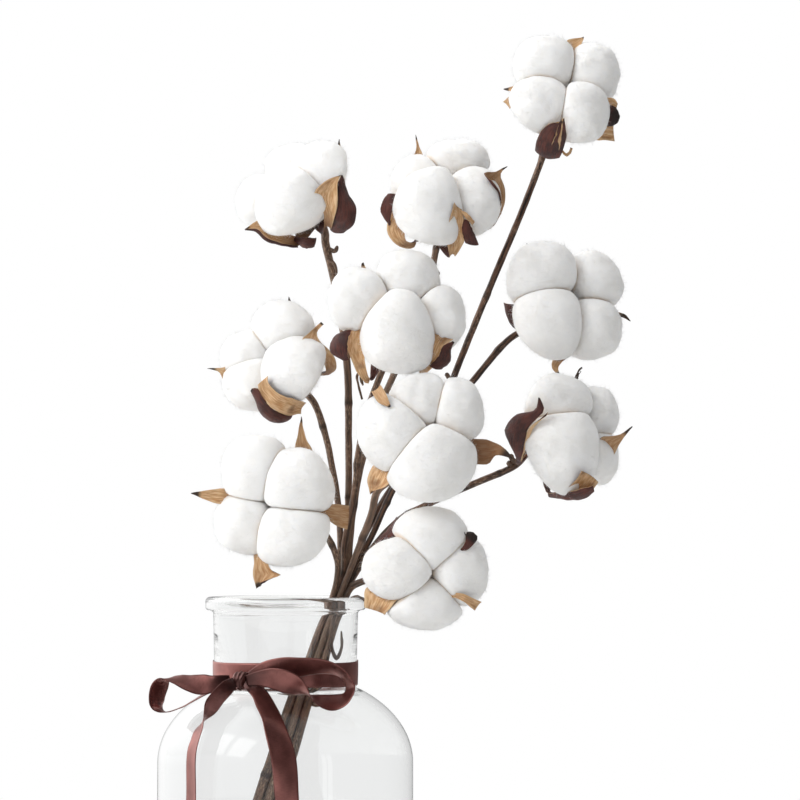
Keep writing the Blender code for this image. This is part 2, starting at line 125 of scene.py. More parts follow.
@dataclass(frozen=True)
class BollPlan:
    """Where a boll is, which way it faces, and the stem that carries it into the vase."""

    name: str
    at: tuple[float, float, float]
    face: tuple[float, float]
    locks: tuple[Lock, ...]
    blades: tuple[Blade, ...]
    route: tuple[tuple[float, float, float], ...]
    cell: tuple[float, float]
    joins: int = 0
    top_r: float = 1.5
    mid_r: float = 1.7

    def axes(self) -> tuple[np.ndarray, np.ndarray, np.ndarray]:
        """The boll's right, up and facing directions.

        Returns:
            Three unit vectors in the part's frame.
        """
        turn, lift = (math.radians(d) for d in self.face)
        facing = np.array([math.sin(turn) * math.cos(lift),
                           -math.cos(turn) * math.cos(lift), math.sin(lift)])
        right = np.array([math.cos(turn), math.sin(turn), 0.0])
        return right, np.cross(facing, right), facing

    def place(self, local: np.ndarray) -> np.ndarray:
        """Points in the boll's own axes, turned into the part's frame."""
        return np.atleast_2d(local) @ np.array(self.axes()) + np.array(self.at)


@dataclass(frozen=True)
class Level:
    """One height of the bundle where the stems run together down the vase."""

    x: float
    y: float
    z: float
    pitch: float
    radius: float


BUNDLE = (
    Level(30.5, 8, 205, 3.7, 1.55), Level(27, 8, 192, 3.5, 1.45), Level(20.3, 7.5, 177, 3.7, 1.55),
    Level(14.5, 7, 162, 4.2, 1.75), Level(8.5, 6, 144.5, 4.5, 1.9), Level(0.5, 4, 119, 5, 2.1),
    Level(-8.5, 2, 90, 5.4, 2.3), Level(-35, -1, 5.2, 5.6, 2.3),
)
CELL_DEPTH = 0.9               # row spacing of the bundle, as a share of its pitch

BOLLS = (
    BollPlan("a", (139, -5, 444), (10, 20), (
        Lock(122, 18, 14, 13), Lock(35, 20, 12, 14), Lock(-69, 19, 12, 15, 4),
        Lock(-141, 19, 14, 13, 2)), (
        Blade(IN, ((4.5, 15, -6), (6.5, 20.5, -1), (9, 24, -2), (10.3, 27.8, -4)), ((2.5, 15, -6),
            (1.8, 21, -1), (1.6, 25.6, -2), (10.2, 27.8, -4)), 75),
        Blade(IN, ((-17, 0.6, 4), (-23, 1.2, 10), (-30.2, 0.4, 5)), ((-19, -4, 4),
            (-23, -2.6, 10.5), (-30.2, 0, 5)), 178, 4),
        Blade(IN, ((-20, -2.4, 7), (-25, -2.4, 9), (-30.8, -6, 5)), ((-21, -7, 7), (-24.5, -7, 9),
            (-27.2, -9.5, 5)), None, 0.8),
        Blade(OUT, ((-11, -22, -8), (-14.6, -30.4, 4), (-13.5, -24.5, 14), (-9, -19.8, 22),
            (-5, -19, 24)), ((-2, -24, -8), (-2.5, -33.8, 4), (0.2, -26, 16), (-1.2, -17, 26)),
            -105),
        Blade(IN, ((-2, -30, 3), (0.8, -33.4, 5), (3, -32, 6), (4.2, -29.5, 6)), ((-1.5, -29, 3),
            (1, -31.8, 5), (2.2, -30.8, 6), (3, -29, 6)), None, 0.6),
        Blade(IN, ((14, -3, -8), (20, -4, 5), (24.5, -4.9, 8), (26.4, -7.5, 8)), ((14, -8, -8),
            (19.5, -9.5, 8), (23, -10.5, 9), (25.6, -11, 8)), -20, 0.6),
        Blade(OUT, ((17, -9.5, 4), (21, -8.4, 10), (25.2, -9.4, 10), (27.4, -13.5, 9)),
            ((16, -15.5, 6), (18.4, -18.4, 11), (22.6, -19.2, 10), (26.2, -17.2, 9)), None, 7),
        Blade(IN, ((-9, -32, 7), (-6.6, -28, 16), (-4.2, -21, 24)), ((-3.5, -33, 7),
            (-2.4, -27, 18), (-1.8, -17.5, 27)), None, 1.5, 0.4),
        Blade(IN, ((12, -15, -4), (18.6, -17.5, 8), (24.4, -18, 7)), ((11, -23, -4),
            (17.5, -25.4, 6), (25, -25.8, 6)), -45, 0.5)), (
        (130, 17, 416), (125, 17, 402), (118, 17, 384), (102, 16, 346), (85, 15, 304),
        (81, 15, 293), (65, 14, 265), (52, 13, 242), (43, 11, 222)), (1, 0.5)),
    BollPlan("b", (4, 10, 396), (-32, 32), (
        Lock(118, 20, 13, 10, -3), Lock(15, 20, 16, 16), Lock(-59, 17, 17, 18, 3),
        Lock(-158, 21, 10, 13)), (
        Blade(IN, ((21, 8, -8), (23.7, 16.2, 12), (22.6, 24.6, 9)), ((17, 10, -8), (18.8, 17, 12),
            (21.4, 20.6, 11), (22.4, 24.6, 9)), 55, 4.5),
        Blade(IN, ((14, -23, 6), (14.8, -13, 23), (10.8, -4.6, 30), (16.5, 1.2, 31),
            (23.4, 4, 29)), ((18, -21, 8), (21, -15, 24), (22.2, -8, 28), (22.2, 0, 30),
            (23.7, 4.2, 29)), -25),
        Blade(OUT, ((18, -21, 8), (20.8, -15, 22.6), (22, -8, 25.6), (22.1, 0, 26.6),
            (23.6, 4.5, 26)), ((24.5, -22.5, 8), (30.2, -18, 12), (31.2, -11, 15), (27.5, -4, 19),
            (24.4, 4.6, 25)), None, 0.8),
        Blade(IN, ((0, -23.5, 2), (-8, -20, 10), (-15.2, -15.6, 15), (-20, -18, 14),
            (-24.6, -21, 13)), ((2, -28, -1), (-7, -27.8, 6), (-14.5, -25.6, 12), (-19, -21.5, 13),
            (-24.6, -21.3, 13)), -90, 3),
        Blade(OUT, ((1.5, -28.2, 0), (-7, -27.4, 7.6), (-14.3, -25, 13.4), (-18.8, -21, 14.4),
            (-24, -20.9, 14)), ((1.5, -29, -2), (-7, -28.4, 5), (-15, -26.2, 11),
            (-19.4, -22.1, 12), (-24.6, -21.5, 13)), None, 2),
        Blade(OUT, ((0, -24, 2), (6, -25, 10), (11, -25, 8)), ((1, -26, -2), (5.5, -30, 5),
            (10, -29.3, 6)), None, 0.5, 1)), (
        (19, 27, 371), (24, 26, 349), (30, 23, 310), (31, 19, 270), (31, 16, 240), (30, 14, 220)),
        (-0.5, 1.5), top_r=2.4, mid_r=2),
    BollPlan("c", (79, -5, 393), (2, 22), (
        Lock(67, 21, 14, 9, -2), Lock(-29, 18, 13, 17), Lock(-117, 19, 15, 21, 5),
        Lock(161, 16, 11, 12)), (
        Blade(IN, ((-6, 9, -14), (-8.2, 15.6, -8), (-11.6, 22.5, -7), (-14, 29.6, -4)),
            ((-26, 6, -12), (-21, 15.2, -7), (-14.4, 21, -7), (-14.3, 29.4, -4)), 113, 3),
        Blade(IN, ((-15, -27, -2), (-22.5, -27.2, 3), (-28.4, -20.5, 6), (-27.5, -13, 8),
            (-23.5, -2.6, 8)), ((-12, -24, 0), (-19, -25, 8), (-19.5, -16, 12), (-18, -9, 12),
            (-17.2, -2.6, 11)), -150),
        Blade(OUT, ((-27.5, -17, 6), (-31.7, -10, 8), (-30.5, -5, 9), (-28, -1.6, 9)),
            ((-26.5, -17, 8), (-26.4, -12, 10), (-24.2, -8, 11), (-22.2, -2.2, 11)), None),
        Blade(IN, ((-3, -27, 4), (2.4, -33.8, 12), (1, -26, 23), (2.3, -17, 29), (4.6, -8, 28)),
            ((8, -26, 4), (5.2, -33.2, 13), (9.4, -27, 19), (9.6, -18, 24), (8.5, -11.2, 25)),
            -75),
        Blade(OUT, ((9.4, -15.8, 25.6), (8.4, -21, 23.6), (10.2, -27, 19)), ((11.5, -16.4, 25.6),
            (14, -21.5, 23), (17, -27.8, 18)), None, 0.8),
        Blade(IN, ((7.2, -11.4, 25.4), (11, -13, 25.8), (14.6, -17.2, 23.4)), ((9, -13.8, 25.8),
            (11, -16.4, 26.2), (13.6, -18.8, 24)), None, 0.4),
        Blade(IN, ((20, -16, -4), (28, -8, 10), (26.6, 0, 15.5), (19.6, 7.6, 19), (25.5, 8.9, 13),
            (31.2, 12.2, 9)), ((22, -18, -6), (29.6, -7, 7), (30, 1, 11), (27.8, 7, 12),
            (28.4, 8.8, 12), (31.3, 11.8, 9)), -10, 4.5, 0.6)), (
        (74, 17, 360), (70, 17, 341), (57, 16, 310), (44, 14, 280), (37, 13, 255), (33, 11, 230)),
        (0, 0.5)),
    BollPlan("d", (57, -25, 332), (5, 14), (
        Lock(75, 19, 14, 14, -3), Lock(-14, 22, 11, 15), Lock(-97, 18, 16, 20, 5),
        Lock(170, 25, 15, 15)), (
        Blade(IN, ((-16, -36, 7), (-20.4, -31.4, 9), (-23.4, -25.6, 11), (-26, -18, 13),
            (-25.5, -10, 13)), ((-14, -34.4, 4), (-16.6, -28.6, 11), (-17.4, -22.6, 14),
            (-16.2, -15, 15), (-13.6, -8.8, 14)), -140),
        Blade(OUT, ((-28, -24.4, 11), (-34, -20.5, 10), (-32.8, -14, 11), (-26.5, -10, 14)),
            ((-25, -24.8, 14.4), (-25.6, -19, 16), (-25, -14, 16), (-23.6, -10.2, 14.6)),
            None, 0.8),
        Blade(IN, ((8, -27, -2), (12, -26.5, 11), (12.4, -19, 15), (14.4, -11.2, 16)),
            ((10, -31, -4), (17.5, -26, 13), (21, -19, 16), (25.8, -14.6, 15)), -50),
        Blade(OUT, ((14.4, -27.4, 12), (19.2, -22.4, 16.4), (20.6, -18.6, 17.4),
            (25.8, -15.6, 16)), ((20.5, -28.9, 9), (24.5, -25, 12), (24.8, -20, 14),
            (26.3, -16, 15)), None),
        Blade(IN, ((16, 4, -8), (21.8, 8.2, 3), (23.4, 11.7, 4)), ((18, 2, -8), (22.9, 8, 3),
            (23.8, 11.5, 4)), 28, 6),
        Blade(IN, ((-8, 10, -12), (-11, 15.4, -6), (-16, 20.2, -5), (-18, 24.4, -3)),
            ((-27, 10, -12), (-24.5, 15.4, -6), (-20, 20, -5), (-18.8, 24, -3)), 124, 2)), (
        (49, 0, 307), (41, 1, 285), (36, 3, 262), (35, 5, 250), (32, 6, 232), (29, 6, 217)),
        (-0.5, -0.5)),
    BollPlan("e", (140, 5, 338), (15, 10), (
        Lock(138, 23, 19, 15), Lock(38, 22, 13, 13, -2), Lock(-48, 21, 13, 15),
        Lock(-135, 19, 16, 17, 3)), (
        Blade(OUT, ((-22, -13, -8), (-27.4, -10.4, 0), (-30, -4, 1), (-31, 0.6, 2)),
            ((-20, -9, -8), (-25.4, -10, 4), (-25, -5, 6), (-24, -1, 7)), -168),
        Blade(IN, ((-6, -20, -6), (-6.5, -28, 5), (-7.2, -32.5, 8), (-3.6, -36.7, 10)),
            ((1, -20, -4), (0.4, -26.8, 12), (-4, -32.3, 9), (-3.2, -36.1, 10)), -98, 2.5, 0.3),
        Blade(IN, ((20, -2, -8), (26, -4, 1), (30.4, -5.6, 2), (32.6, -8.8, 3)), ((20, -4, -8),
            (25.6, -5.6, 1), (29.6, -7.3, 2), (32.4, -9, 3)), -14, 8),
        Blade(IN, ((-17, 22, -10), (-18.2, 29.4, -2), (-19, 30.6, -1)), ((-19, 22, -10),
            (-19.4, 29.2, -2), (-19.2, 30.6, -1)), 122, 4)), (
        (113, 27, 322), (93, 25, 299), (75, 22, 278), (57, 19, 252), (46, 17, 235), (37, 15, 217)),
        (0.5, 1.5)),
    BollPlan("f", (-7, -5, 308), (-25, 18), (
        Lock(77, 20, 15, 13, -2), Lock(-23, 23, 16, 15, 4), Lock(-126, 16, 13, 12),
        Lock(172, 15, 12, 12)), (
        Blade(IN, ((-16, -1, -4), (-22, -2.2, 2), (-26, -2.8, 3), (-31.7, -3.1, 5)),
            ((-16, -12, -6), (-23, -10.4, 2), (-26.2, -5, 3), (-31.7, -3.4, 5)), -175, 5, -0.6),
        Blade(IN, ((18, -21, 18), (13, -19.5, 27), (5, -17, 30), (0.2, -12.5, 30),
            (-0.8, -8.2, 30)), ((15, -26, 14), (8, -27.2, 21), (1, -23.6, 24), (-3.8, -18, 25),
            (-5.6, -12.4, 27)), None, 0.5),
        Blade(OUT, ((9.4, -27.2, 17), (2, -24.2, 22.6), (-3.4, -18.5, 25.6), (-5.6, -14, 26.4),
            (-8.8, -14.4, 25)), ((7, -28.4, 8), (1.4, -30.3, 13), (-4.2, -27, 16), (-7, -20.5, 20),
            (-9.3, -15.2, 24)), -90, 1.5),
        Blade(IN, ((20, -6, -6), (27.4, -5, 11), (24.2, 2, 20), (16, 9.6, 23), (19, 13.6, 18),
            (25, 19.3, 13)), ((24, -6, -8), (32.4, -3, 6), (31, 3, 12), (25, 9.2, 16),
            (22.8, 13.6, 15), (26.2, 18.2, 13)), -5, 1.5),
        Blade(IN, ((6, 22, -12), (7.6, 29.4, -4), (8.5, 33.2, -3)), ((9, 22, -12), (9.6, 29.4, -4),
            (8.7, 33.2, -3)), 82, 6)), (
        (14, 15, 288), (20, 14, 270), (23, 13, 255), (26, 11, 237), (27, 9, 220)), (-1, 0.5),
        top_r=1.8),
    BollPlan("g", (69, -45, 274), (0, 4), (
        Lock(101, 14, 13, 13), Lock(28, 19, 12, 14), Lock(-81, 21, 19, 19, 4),
        Lock(-170, 17, 17, 17, 2)), (
        Blade(IN, ((-20, 14, -2), (-21.5, 20.5, 12), (-18.6, 15.4, 19), (-16.4, 9.6, 21)),
            ((-24, 8, -2), (-26, 17, 12), (-22.4, 11.4, 19), (-17.2, 9, 21)), 141, 1.5, 0.3),
        Blade(IN, ((12, -4, -8), (20, -5.2, 3), (31, -6.2, 5), (38, -9.8, 7), (42.4, -14.8, 8)),
            ((15, -19, -8), (23, -17.8, 3), (31, -17.4, 3), (34, -13.4, 6), (42.2, -15.2, 8)),
            -17, 7, 1.1),
        Blade(IN, ((-20, -15, -8), (-26, -19.6, 2), (-27.6, -27, 3), (-26.3, -32.2, 4)),
            ((-12, -16, -4), (-15, -20, 12), (-18, -28, 9), (-24.6, -30.6, 5)), -128, 1.2, 0.2),
        Blade(IN, ((14, 16, -16), (15, 22, -9), (13.5, 24.5, -8)), ((9, 18, -16), (11, 23, -9),
            (13.2, 24.6, -8)), 62)), (
        (56, -17, 252), (46, -12, 244), (43, -6, 233), (38, 0, 220), (33, 3, 207)), (0, -1.5),
        joins=1, top_r=1.9, mid_r=2),
    BollPlan("h", (-4, -35, 238), (-12, 0), (
        Lock(119, 20, 15, 17), Lock(35, 18, 17, 15, 2), Lock(-56, 21, 17, 14, 3),
        Lock(-145, 19, 14, 14)), (
        Blade(IN, ((3, 15, -6), (8.4, 23, 2), (11, 32, 2), (12.8, 41.6, 5)), ((18, 20, -8),
            (18.4, 24.6, 0), (14.6, 33, 2), (13.2, 41.6, 5)), 69, 3.5, 0.35),
        Blade(OUT, ((0.2, 12, 12), (5, 17.4, 11), (8, 21.8, 8), (8.8, 26, 4)), ((2.2, 12.4, 12),
            (6.6, 17.2, 11), (9.4, 21.4, 8), (9.8, 25, 4)), None, 0.5),
        Blade(IN, ((-16, 4, -4), (-25, 6.9, 4), (-32, 5.9, 5), (-40.4, 4.6, 7)), ((-16, 0, -4),
            (-27.6, -0.9, 4), (-33, 1, 5), (-40.4, 4.2, 7)), 173, 5),
        Blade(IN, ((10, -4, -2), (17, -3, 13), (22, -1, 11), (28, -0.8, 9), (36.5, -1.6, 9)),
            ((12, -9, -2), (21, -5.6, 13), (25, -7, 10), (29.4, -11.2, 7), (35.5, -13.2, 7)),
            -11, 1.8, 0.55),
        Blade(IN, ((-10, -18, -6), (-10, -28, 4), (-10.3, -35, 6), (-8.6, -41.8, 8)),
            ((-4, -18, -2), (-4.4, -24, 10), (-3, -30, 9), (-0.5, -33.6, 8), (3.4, -35.2, 8),
            (-1, -36.8, 8), (-6, -38.6, 8)), -103, 2.5, 0.35)), (
        (13, -10, 229), (21, -5, 221), (25, -1, 212), (26, 2, 205)), (-1, -1.5), joins=1),
    BollPlan("i", (143, -10, 273), (28, 4), (
        Lock(134, 22, 18, 12), Lock(33, 19, 9, 12, -2), Lock(-44, 20, 9, 13, -2),
        Lock(-140, 19, 16, 21, 4)), (
        Blade(OUT, ((-28, -16, 2), (-29.4, -8, 13), (-34.5, -0.5, 14), (-29.5, 7.8, 22),
            (-20, 10, 29), (-18.7, 15.9, 31)), ((-26, -15, 6), (-25, -6, 20), (-23.3, 1, 26),
            (-19, 6, 30), (-16, 9.4, 32), (-17.8, 15.6, 31)), 172, 0.8),
        Blade(IN, ((-26.8, -14, 10), (-24.8, -5, 21), (-22.6, 1.6, 27), (-14.8, 7, 32)),
            ((-26, -14, 9), (-23.2, -5, 20.6), (-21, 1, 26.6), (-14.2, 8.4, 32)), None, 0.4, -0.8),
        Blade(IN, ((10, -4, -6), (14.6, -2.4, 8), (22.5, -1.4, 6), (28.8, 2.8, 7)), ((14, -14, -6),
            (19.4, -12, 2), (22.8, -5.5, 5), (28.9, 2.3, 7)), 0, 6, 0.5),
        Blade(IN, ((-1, 20, -12), (1.2, 28, -1), (2.8, 31.6, 0), (4.2, 32.4, 1)), ((1, 20, -12),
            (1.9, 27, -1), (3.2, 30.6, 0), (4.4, 31.8, 1)), 78, 9),
        Blade(IN, ((2, 24, -2), (3, 28.4, -1), (4.1, 30.4, 0)), ((1.3, 24.4, -2), (2.2, 28.4, -1),
            (3.9, 30.6, 0)), None, 7),
        Blade(IN, ((-14, -29.4, 8), (-5, -28.6, 24), (0.8, -22.5, 31), (2.2, -19.8, 32)),
            ((-12, -31, 4), (-2, -32, 16), (6, -30.6, 21), (10.6, -25, 25)), -92, 1.2, 0.3),
        Blade(OUT, ((-13, -30, 9), (-4, -30.2, 23), (3, -28.4, 29), (8, -27, 26)), ((-11, -32, 4),
            (-3, -33.4, 14), (4, -32.8, 18), (8.6, -29.6, 21)), None, 0.8)), (
        (115, 11, 257), (97, 11, 249), (83, 10, 243), (70, 10, 237), (57, 9, 230), (46, 8, 219),
        (38, 7, 208)), (0.5, -0.5), joins=1),
    BollPlan("j", (70, -40, 205), (8, 0), (
        Lock(84, 16, 16, 16), Lock(-1, 16, 14, 15), Lock(-96, 17, 17, 12),
        Lock(178, 17, 17, 13, 3)), (
        Blade(OUT, ((-25, 12.8, -2), (-19, 20, -3), (-14.6, 26, -3)), ((-22, 11, -2),
            (-15, 9.4, 2), (-6, 7, 4)), 138, 0.8),
        Blade(OUT, ((10, 5, 9), (18, 12.6, 12), (19.4, 18.6, 9), (22.6, 18.3, 9)), ((11, 4.6, 9),
            (21.4, 11.6, 11), (24.2, 14.6, 9), (24.4, 16.6, 9)), 35, 6),
        Blade(OUT, ((4, 27.4, 2), (11, 25, 6), (17, 20, 9), (19, 17, 9)), ((4, 26.6, 2),
            (11, 24, 6), (16.4, 19.2, 9), (18, 17, 9)), None, 9),
        Blade(IN, ((-24, -6, -6), (-29.8, -9.6, 4), (-30.2, -18, 4)), ((-12, -10, -6),
            (-14.5, -14, 12), (-20.4, -21.4, 8)), -143),
        Blade(IN, ((9, -9.8, 8), (17, -11, 14), (26.2, -15.2, 11)), ((10, -12.4, 8),
            (16, -14.2, 14), (23.2, -19.2, 10)), -34, 0.6)), (
        (55, -11, 206), (46, -6, 202), (39, -1, 199), (33, 2, 196)), (1, -1.5), joins=1,
        top_r=1.8),
)


@dataclass(frozen=True)
class Twig:
    """A thin side shoot or the stub of one, as a line of places with a radius."""

    line: tuple
    radius: float = 0.6
    end: float = 0.6


TWIGS = {
    "j": (Twig(((31, -2, 188), (32.5, -7, 190.6), (36, -13, 191.9), (39.5, -20, 189.8),
              (42, -26, 187)), 0.6, 0.5),
          Twig(((33, 2, 197), (36, -3, 198.5), (40, -8, 200)), 1.5, 1.3)),
    "h": (Twig(((24.5, 1, 190), (22.5, -4, 187), (20.2, -5, 184.6)), 1.6, 1.5),
          Twig(((26, 1, 186), (24.2, -3, 183), (22.8, -4, 177), (23, -3, 169), (25.6, -2, 164.6),
              (28, 0, 169), (27.8, 1, 176)), 1.1, 0.8)),
    "g": (Twig(((28, 0, 190), (27.6, -5, 186), (26.4, -6, 183)), 1.9, 1.6),),
    "f": (Twig(((4.7, 8, 147), (2.6, 3, 146), (0.6, -1, 144.6)), 2.4, 1.9),),
    "c": (Twig(((7.4, 7.7, 141), (12.5, 2, 139.4), (16.6, -1, 137.6)), 2.2, 1.6),
          Twig(((76, 17, 354), (74, 14, 357.6), (73.6, 12, 359)), 1.5, 1.2)),
    "d": (Twig(((38, 1, 290), (36.2, -2, 297), (35.6, -3, 301.6), (37.4, -4, 303.2),
              (37.6, -4, 299.6), (38.6, -4, 296.6)), 0.55, 0.8),),
    "a": (Twig(((83.5, 15, 298), (81, 13, 302.4), (80.2, 12, 303.4)), 1.6, 1.2),
          Twig(((84, 15, 301), (84.6, 14, 303.8), (84.2, 14, 305)), 0.9, 0.8)),
    "b": (Twig(((23.6, 26, 352), (24.6, 23, 356.4), (23.4, 22, 360), (19.6, 20, 363)), 0.7, 0.9),
          Twig(((20, 27, 368), (24, 24, 366.6), (25.2, 23, 369)), 1.4, 1)),
    "i": (Twig(((117, 11, 257.6), (113.4, 9, 260), (112.6, 8, 262.6)), 1.5, 1.2),
          Twig(((113, 11, 256.4), (111.4, 9, 259)), 1.6, 1.3)),
}


# ---------------------------------------------------------------- mesh and node helpers

@dataclass
class Shape:
    """Points in millimetres with faces, a UV for each face corner and point attributes."""

    points: list = field(default_factory=list)
    faces: list = field(default_factory=list)
    uvs: list = field(default_factory=list)
    slots: list = field(default_factory=list)
    marks: dict = field(default_factory=dict)

    def add_grid(self, grid: np.ndarray, marks: dict[str, np.ndarray] | None = None,
                 wrap: bool = False, flip: bool = False, v_scale: float = 1.0) -> np.ndarray:
        """Add a sheet of quads.

        Args:
            grid: (rows, columns, 3) points.
            marks: values for each point attribute, of a shape that fits (rows, columns).
            wrap: True to join the last column to the first.
            flip: True to turn the faces over.
            v_scale: length of the sheet along its rows, which scales the UV.

        Returns:
            The (rows, columns) array of point numbers.
        """
        rows, cols = grid.shape[:2]
        base, marks = len(self.points), marks or {}
        self.points.extend(grid.reshape(-1, 3).tolist())
        for name in marks:
            self.marks.setdefault(name, [0.0] * base)
        for name, values in self.marks.items():
            values.extend(np.broadcast_to(marks.get(name, 0.0), (rows, cols)).ravel().tolist())
        ids = base + np.arange(rows * cols).reshape(rows, cols)
        spans, turn = (cols if wrap else cols - 1), (-1 if flip else 1)
        for r in range(rows - 1):
            for c in range(spans):
                d = (c + 1) % cols
                quad = (ids[r, c], ids[r, d], ids[r + 1, d], ids[r + 1, c])
                uv = [(u / spans, v / (rows - 1) * v_scale)
                      for u, v in ((c, r), (c + 1, r), (c + 1, r + 1), (c, r + 1))]
                self.add_face(quad[::turn], uv[::turn])
        return ids

    def add_face(self, corners: Iterable[int], uv: list | None = None) -> None:
        """Add one face, with its UV where it has a pattern.

        Args:
            corners: point numbers round the face.
            uv: a (u, v) pair for each corner, or None where it has no pattern.
        """
        self.faces.append([int(i) for i in corners])
        self.uvs.append(uv or [MID_UV] * len(self.faces[-1]))
        self.slots.append(0)

    def add_strip(self, first: np.ndarray, second: np.ndarray) -> None:
        """Join two equal rows of point numbers with quads."""
        for quad in zip(first, first[1:], second[1:], second):
            self.add_face(quad)

    def fan(self, ring: np.ndarray, at: Iterable[float], **marks: float) -> None:
        """Close a ring of point numbers with a middle point and a triangle for each side.

        Args:
            ring: point numbers round the hole.
            at: place of the middle point.
            marks: its value for each point attribute that isn't 0.
        """
        hub = len(self.points)
        self.points.append(list(at))
        for name, values in self.marks.items():
            values.append(marks.get(name, 0.0))
        for pair in zip(ring, np.roll(ring, -1)):
            self.add_face((*pair, hub))

    def cap_ends(self, ids: np.ndarray) -> None:
        """Close the first and last rings of a tube with one face each."""
        self.add_face(ids[0][::-1])
        self.add_face(ids[-1])

    def build(self, name: str, *materials: Material, recalc: bool = False,
              weld: bool = False) -> Object:
        """Make the object, smooth and in metres.

        Args:
            name: name of the piece.
            materials: its materials, in slot order.
            recalc: True to turn all faces outwards.
            weld: True to join points that lie on each other first.

        Returns:
            The new object, linked to the scene.
        """
        mesh = bpy.data.meshes.new(name)
        mesh.from_pydata((np.array(self.points) * MM).tolist(), [], self.faces)
        for mat in materials:
            mesh.materials.append(mat)
        mesh.polygons.foreach_set("material_index", self.slots)
        layer = mesh.uv_layers.new(name="UVMap")
        layer.data.foreach_set("uv", np.array([c for f in self.uvs for p in f for c in p]))
        for key, values in self.marks.items():
            attr = mesh.attributes.new(key, "FLOAT", "POINT")
            attr.data.foreach_set("value", np.array(values, np.float32))
        mesh.shade_smooth()
        if recalc:
            bm = bmesh.new()
            bm.from_mesh(mesh)
            if weld:
                bmesh.ops.remove_doubles(bm, verts=bm.verts, dist=WELD)
            bmesh.ops.recalc_face_normals(bm, faces=bm.faces)
            bm.to_mesh(mesh)
            bm.free()
        return linked(name, mesh)


def linked(name: str, data: bpy.types.ID) -> Object:
    """A new object in the scene.

    Args:
        name: name of the object.
        data: its mesh, lamp or camera.

    Returns:
        The object, linked to the scene.
    """
    obj = bpy.data.objects.new(name, data)
    bpy.context.scene.collection.objects.link(obj)
    return obj


def between(first: np.ndarray, last: np.ndarray, t: float, start: float,
            stop: float) -> np.ndarray:
    """The place that is as far from first to last as t is from start to stop."""
    return first * (stop - t) / (stop - start) + last * (t - start) / (stop - start)


def hops(line: np.ndarray) -> np.ndarray:
    """Distances between the neighbouring points of a line."""
    return np.linalg.norm(np.diff(line[:, :3], axis=0), axis=1)


def smooth_line(points: np.ndarray, step: float) -> np.ndarray:
    """A smooth curve through points, sampled evenly.

    Args:
        points: (n, k) array, whose first three columns are a place. Further columns, such as
            a radius or a direction, are smoothed with it.
        step: spacing of the samples in millimetres.

    Returns:
        An (m, k) array that starts and ends on the first and last points.
    """
    pts = np.asarray(points, float)
    pts = np.vstack([2 * pts[0] - pts[1], pts, 2 * pts[-1] - pts[-2]])
    knots = np.concatenate([[0], np.cumsum(hops(pts) ** 0.5)])
    dense = []
    for k in range(1, len(pts) - 2):
        p, q = pts[k - 1:k + 3], knots[k - 1:k + 3]
        for t in np.linspace(q[1], q[2], CURVE_STEPS, endpoint=False):
            a = [between(p[j], p[j + 1], t, q[j], q[j + 1]) for j in range(3)]
            b = [between(a[j], a[j + 1], t, q[j], q[j + 2]) for j in range(2)]
            dense.append(between(*b, t, q[1], q[2]))
    dense.append(pts[-2])
    dense = np.array(dense)
    run = np.concatenate([[0], np.cumsum(hops(dense))])
    count = max(int(round(run[-1] / step)), 2)
    even = np.linspace(0, run[-1], count + 1)
    return np.stack([np.interp(even, run, column) for column in dense.T], axis=1)


def unit(vector: np.ndarray) -> np.ndarray:
    """The vector at length one."""
    return vector / max(np.linalg.norm(vector), 1e-9)


def tangents(line: np.ndarray, closed: bool = False) -> np.ndarray:
    """Unit direction of a line at each of its points.

    Args:
        line: (n, 3) points.
        closed: True where the last point meets the first.

    Returns:
        An (n, 3) array of unit vectors.
    """
    ahead, behind = np.roll(line, -1, axis=0), np.roll(line, 1, axis=0)
    if not closed:
        ahead[-1], behind[0] = line[-1], line[0]
    return np.array([unit(way) for way in ahead - behind])


def circle(radius: float, count: int) -> list[tuple[float, float]]:
    """Points round a circle."""
    return [(radius * math.cos(t), radius * math.sin(t))
            for t in np.linspace(0, 2 * math.pi, count, endpoint=False)]


def tube(line: np.ndarray, lean: Iterable[float], sides: int,
         size: Callable[[int, float], float]) -> np.ndarray:
    """Rings of points round a line, turned as little as possible along it.

    Args:
        line: (n, 3) points.
        lean: direction that the first side leans to.
        sides: points in a ring.
        size: radius at a point's number and an angle.

    Returns:
        An (n, sides, 3) grid.
    """
    grid, across = np.zeros((len(line), sides, 3)), np.array(lean)
    for k, tangent in enumerate(tangents(line)):
        across = unit(across - tangent * across.dot(tangent))
        other = np.cross(tangent, across)
        for s in range(sides):
            turn = 2 * math.pi * s / sides
            grid[k, s] = line[k] + (across * math.cos(turn)
                                    + other * math.sin(turn)) * size(k, turn)
    return grid


def ripple(spot: Iterable[float], scale: float, seed: float = 0.0) -> float:
    """Smooth noise between about -1 and 1 at a place in millimetres, one wave per scale."""
    return noise.noise(Vector(spot) / scale + Vector((seed, seed * 1.7, -seed)))


def aim(obj: Object, at: Iterable[float], target: Iterable[float]) -> None:
    """Put a camera, a light or a card at a place, turned to its target, both in metres."""
    obj.location = at
    obj.rotation_euler = (Vector(target) - Vector(at)).to_track_quat("-Z", "Y").to_euler()


def present(piece: Object, slot: str, *nodes: str) -> None:
    """Let a piece ride on the part and stand for its nodes.

    Args:
        piece: the finished piece.
        slot: material slot named in the record; not used.
        nodes: part nodes that it stands for.
    """
    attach(piece, BODY)
    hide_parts(*nodes)
    LOG.info("%s: %d faces, stands for %s", piece.name, len(piece.data.polygons),
             ", ".join(nodes))


Feed = NodeSocket | float | tuple      # what a node's input can be given


